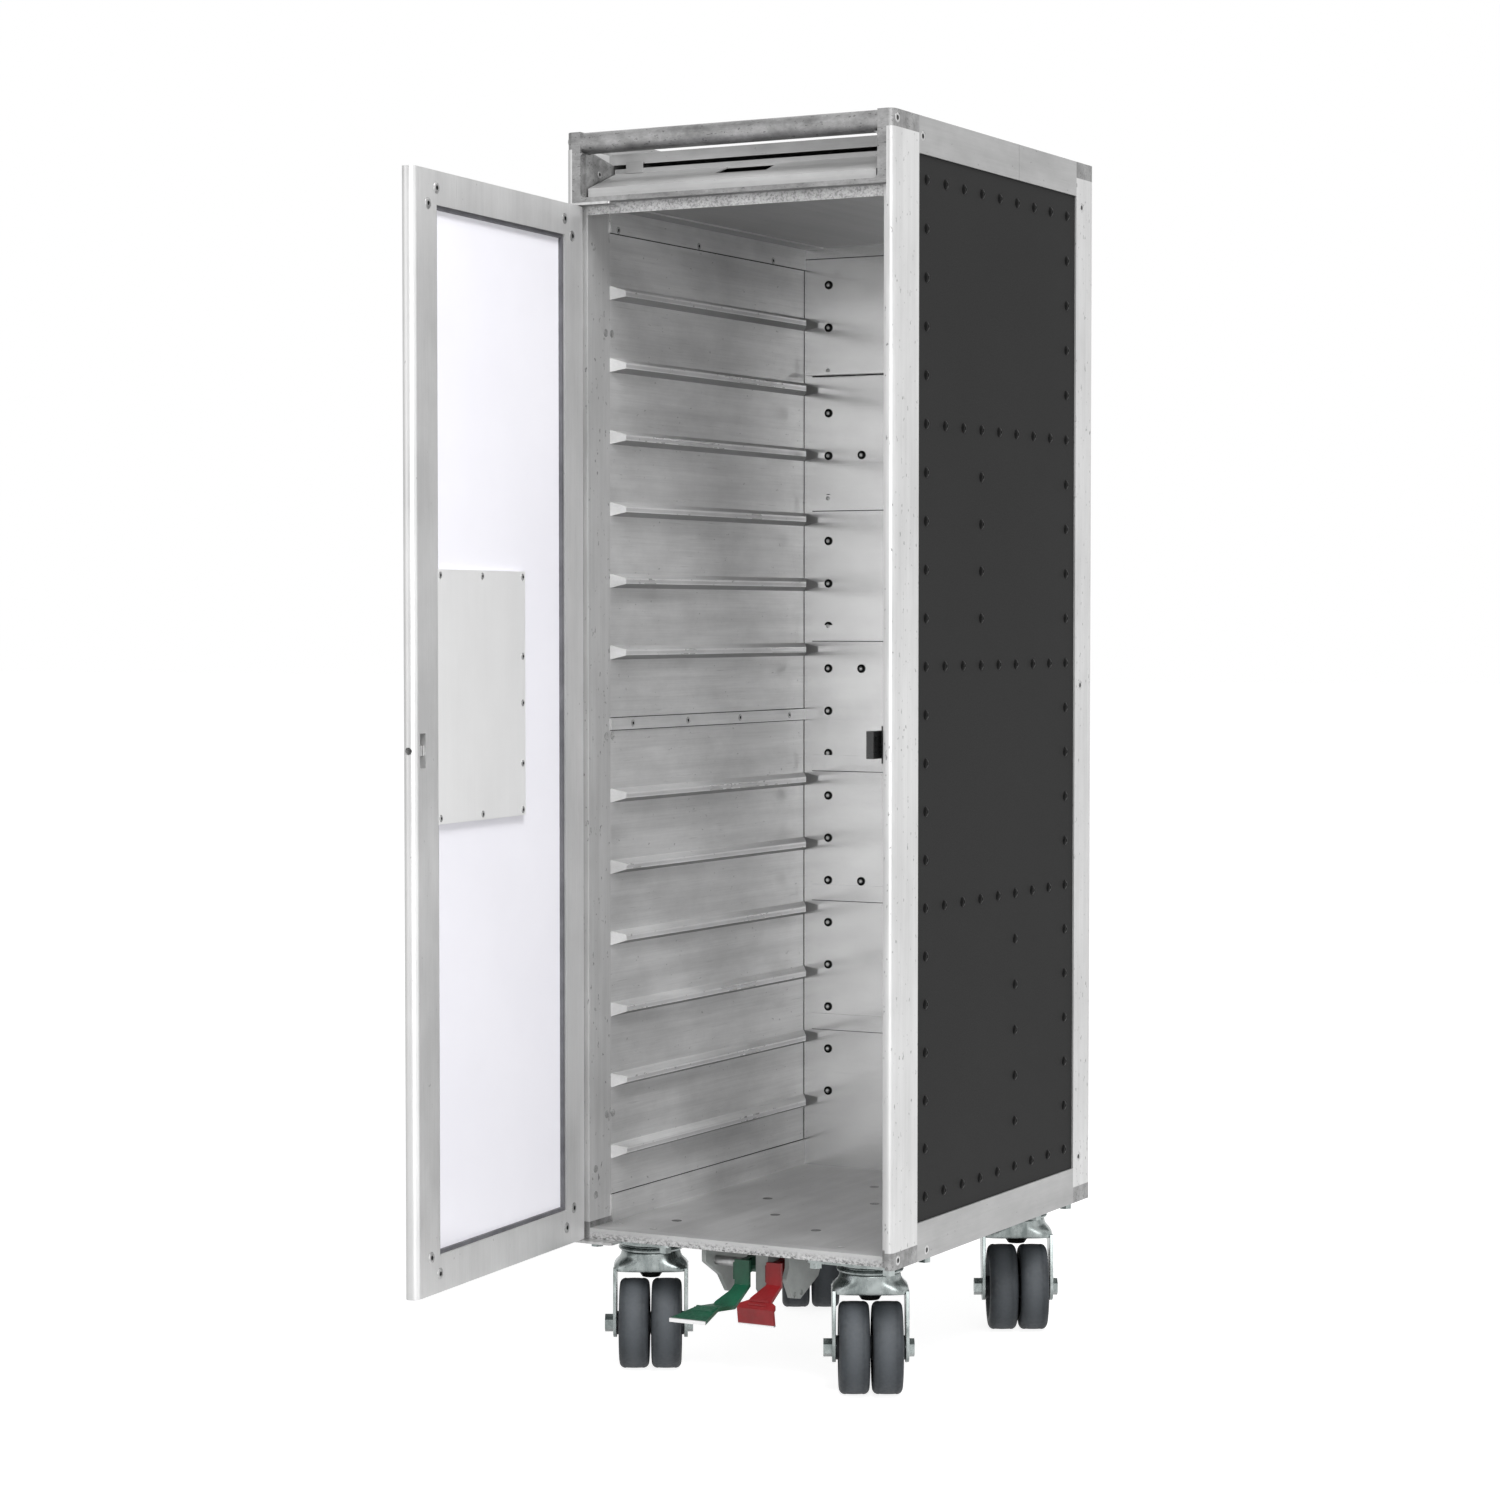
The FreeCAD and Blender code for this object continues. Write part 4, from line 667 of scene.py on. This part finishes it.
def cornerPlate(half, z0, z1, round):
    # square plate with rounded corners
    arc = np.linspace(0, pi / 2, 6)
    outline = []
    for k, (sx, sy) in enumerate(((1, 1), (-1, 1), (-1, -1), (1, -1))):
        a = arc + k * pi / 2
        outline += list(zip(sx * (half - round) + round * np.cos(a),
                            sy * (half - round) + round * np.sin(a)))
    flat = np.array(outline)
    rings = np.stack([np.column_stack([flat, np.full(len(flat), z)]) for z in (z0, z1)])
    return ringSurface(rings, np.zeros(2 * len(flat)), False)


def makeCasters(look):
    wheel = wheelSurface(look)
    fork = gathered([bellSurface(), legSurface(look, look["legIn"]), legSurface(look, -look["legOut"])])
    heads = []
    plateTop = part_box("caster_heads")[1][2]
    for corner in ("front_left", "front_right", "rear_left", "rear_right"):
        x, y, _ = joints["swivel_" + corner]["pos_m"]
        axle = np.array(joints["spin_" + corner + "_a"]["axis"])
        addPiece("forkShell_" + corner, placed(fork, (x, y, 0), (0, 0, 1), axle), "zincSteel",
                 "fork_" + corner, ["fork_" + corner], bevel=0.0006)
        side = np.array([-axle[1], axle[0], 0])
        centre = np.array([x, y, look["wheelRadius"]]) - side * look["trail"]
        for letter, sign in (("a", -1), ("b", 1)):
            name = "wheel_" + corner + "_" + letter
            addPiece("tyre_" + corner + "_" + letter, placed(wheel, centre, sign * axle), "wheelRubber",
                     name, [name])
        heads.append(placed(headSurface(), (x, y, 0), (0, 0, 1)))
        heads.append(placed(cornerPlate(0.040, 0.1082, plateTop, 0.006), (x, y, 0), (0, 0, 1), (1, 0, 0)))
    addPiece("casterHeads", gathered(heads), "zincSteel", "cabinet", ["caster_heads"])


makeCasters(caster)
print("casters ready")


# Pedal treads.
treads = {"green_pedal": {"body": "release_pedal", "paint": "greenPaint", "slot": "green_paint",
                          "y": (-0.2335, -0.2375, -0.2415), "half": 0.0095},
          "red_pedal": {"body": "brake_pedal", "paint": "redPaint", "slot": "red_paint",
                        "y": (-0.1990, -0.2030), "half": 0.0085}}


def addTreads(node, look):
    # small ridges across the pedal: half round bars that lie on the plate where a ray from above meets it
    low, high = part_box(node)
    x = (low[0] + high[0]) / 2
    bar = turnedSurface([(-look["half"], 0.0008, 0), (-look["half"], 0.0011, 0), (look["half"], 0.0011, 0),
                         (look["half"], 0.0008, 0)], 10)
    parts = []
    for y in look["y"]:
        hit, spot, _, _ = nodes[node].ray_cast((x, y, 0.5), (0, 0, -1))
        if hit:
            parts.append(placed(bar, spot, (1, 0, 0)))
    addPiece(node + "Treads", gathered(parts), look["paint"], look["body"])


for node, look in treads.items():
    addTreads(node, look)
print("treads ready")


# Floor, light and camera.
studio = {"floorHalf": 30.0, "cameraPlace": (1.3434, -2.6360, 0.6279), "pitch": 2.161, "yaw": 28.49,
          "lens": 82.4, "fill": 0.36, "glow": 0.87,
          "lamps": {"frontLeft": ((-1.9, -3.0, 1.4), 2.4, 20), "above": ((1.6, -1.8, 3.5), 1.4, 125),
                    "besideCamera": ((2.0, -2.1, 0.6), 1.6, 36)},
          "aim": (0, 0, 0.55)}


def seenDirectly(mat):
    # 1 for camera, mirror and glass rays, 0 for the light that falls on things
    path = addNode(mat, "ShaderNodeLightPath")
    first = addNode(mat, "ShaderNodeMath", {"operation": "MAXIMUM"},
                    links={0: path.outputs["Is Camera Ray"], 1: path.outputs["Is Glossy Ray"]})
    return addNode(mat, "ShaderNodeMath", {"operation": "MAXIMUM"},
                   links={0: first.outputs[0], 1: path.outputs["Is Transmission Ray"]}).outputs[0]


def makeStudio(look):
    h = look["floorHalf"]
    mesh = bpy.data.meshes.new("studioFloor")
    mesh.from_pydata([(-h, -h, 0), (h, -h, 0), (h, h, 0), (-h, h, 0)], [], [(0, 1, 2, 3)])
    floor = bpy.data.objects.new("studioFloor", mesh)
    bpy.context.scene.collection.objects.link(floor)
    mat = newMaterial("paperFloor")
    matte = addNode(mat, "ShaderNodeBsdfDiffuse", values={"Color": linear("#B4B4B4")})
    glow = addNode(mat, "ShaderNodeEmission", values={"Color": linear("#FFFFFF"), "Strength": look["glow"]})
    both = addNode(mat, "ShaderNodeAddShader", links={0: matte.outputs[0], 1: glow.outputs[0]})
    plain = addNode(mat, "ShaderNodeBsdfDiffuse", values={"Color": linear("#C8C8C8")})
    finishMaterial(mat,
                   addNode(mat, "ShaderNodeMixShader",
                           links={0: seenDirectly(mat), 1: plain.outputs[0], 2: both.outputs[0]}))
    mesh.materials.append(mat)

    world = bpy.data.worlds.new("studioWorld")
    bpy.context.scene.world = world
    world.use_nodes = True
    world.node_tree.nodes.clear()
    strength = addNode(world, "ShaderNodeMapRange", values={"To Min": look["fill"], "To Max": 1.0},
                       links={"Value": seenDirectly(world)})
    sky = addNode(world, "ShaderNodeBackground", values={"Color": linear("#FFFFFF")},
                  links={"Strength": strength.outputs["Result"]})
    addNode(world, "ShaderNodeOutputWorld", links={"Surface": sky.outputs[0]})

    for name, (place, size, power) in look["lamps"].items():
        lamp = bpy.data.lights.new(name, "AREA")
        lamp.size = size
        lamp.energy = power
        lampObject = bpy.data.objects.new(name, lamp)
        lampObject.location = place
        lampObject.rotation_euler = (Vector(look["aim"]) - Vector(place)).to_track_quat("-Z",
                "Y").to_euler()
        lampObject.visible_camera = False
        bpy.context.scene.collection.objects.link(lampObject)

    camera = bpy.data.cameras.new("viewCamera")
    camera.lens = look["lens"]
    camera.sensor_width = 36
    cameraObject = bpy.data.objects.new("viewCamera", camera)
    cameraObject.location = look["cameraPlace"]
    cameraObject.rotation_euler = (radians(90 - look["pitch"]), 0, radians(look["yaw"]))
    bpy.context.scene.collection.objects.link(cameraObject)
    bpy.context.scene.camera = cameraObject
    bpy.context.scene.view_settings.view_transform = "Standard"


makeStudio(studio)
print("studio ready")
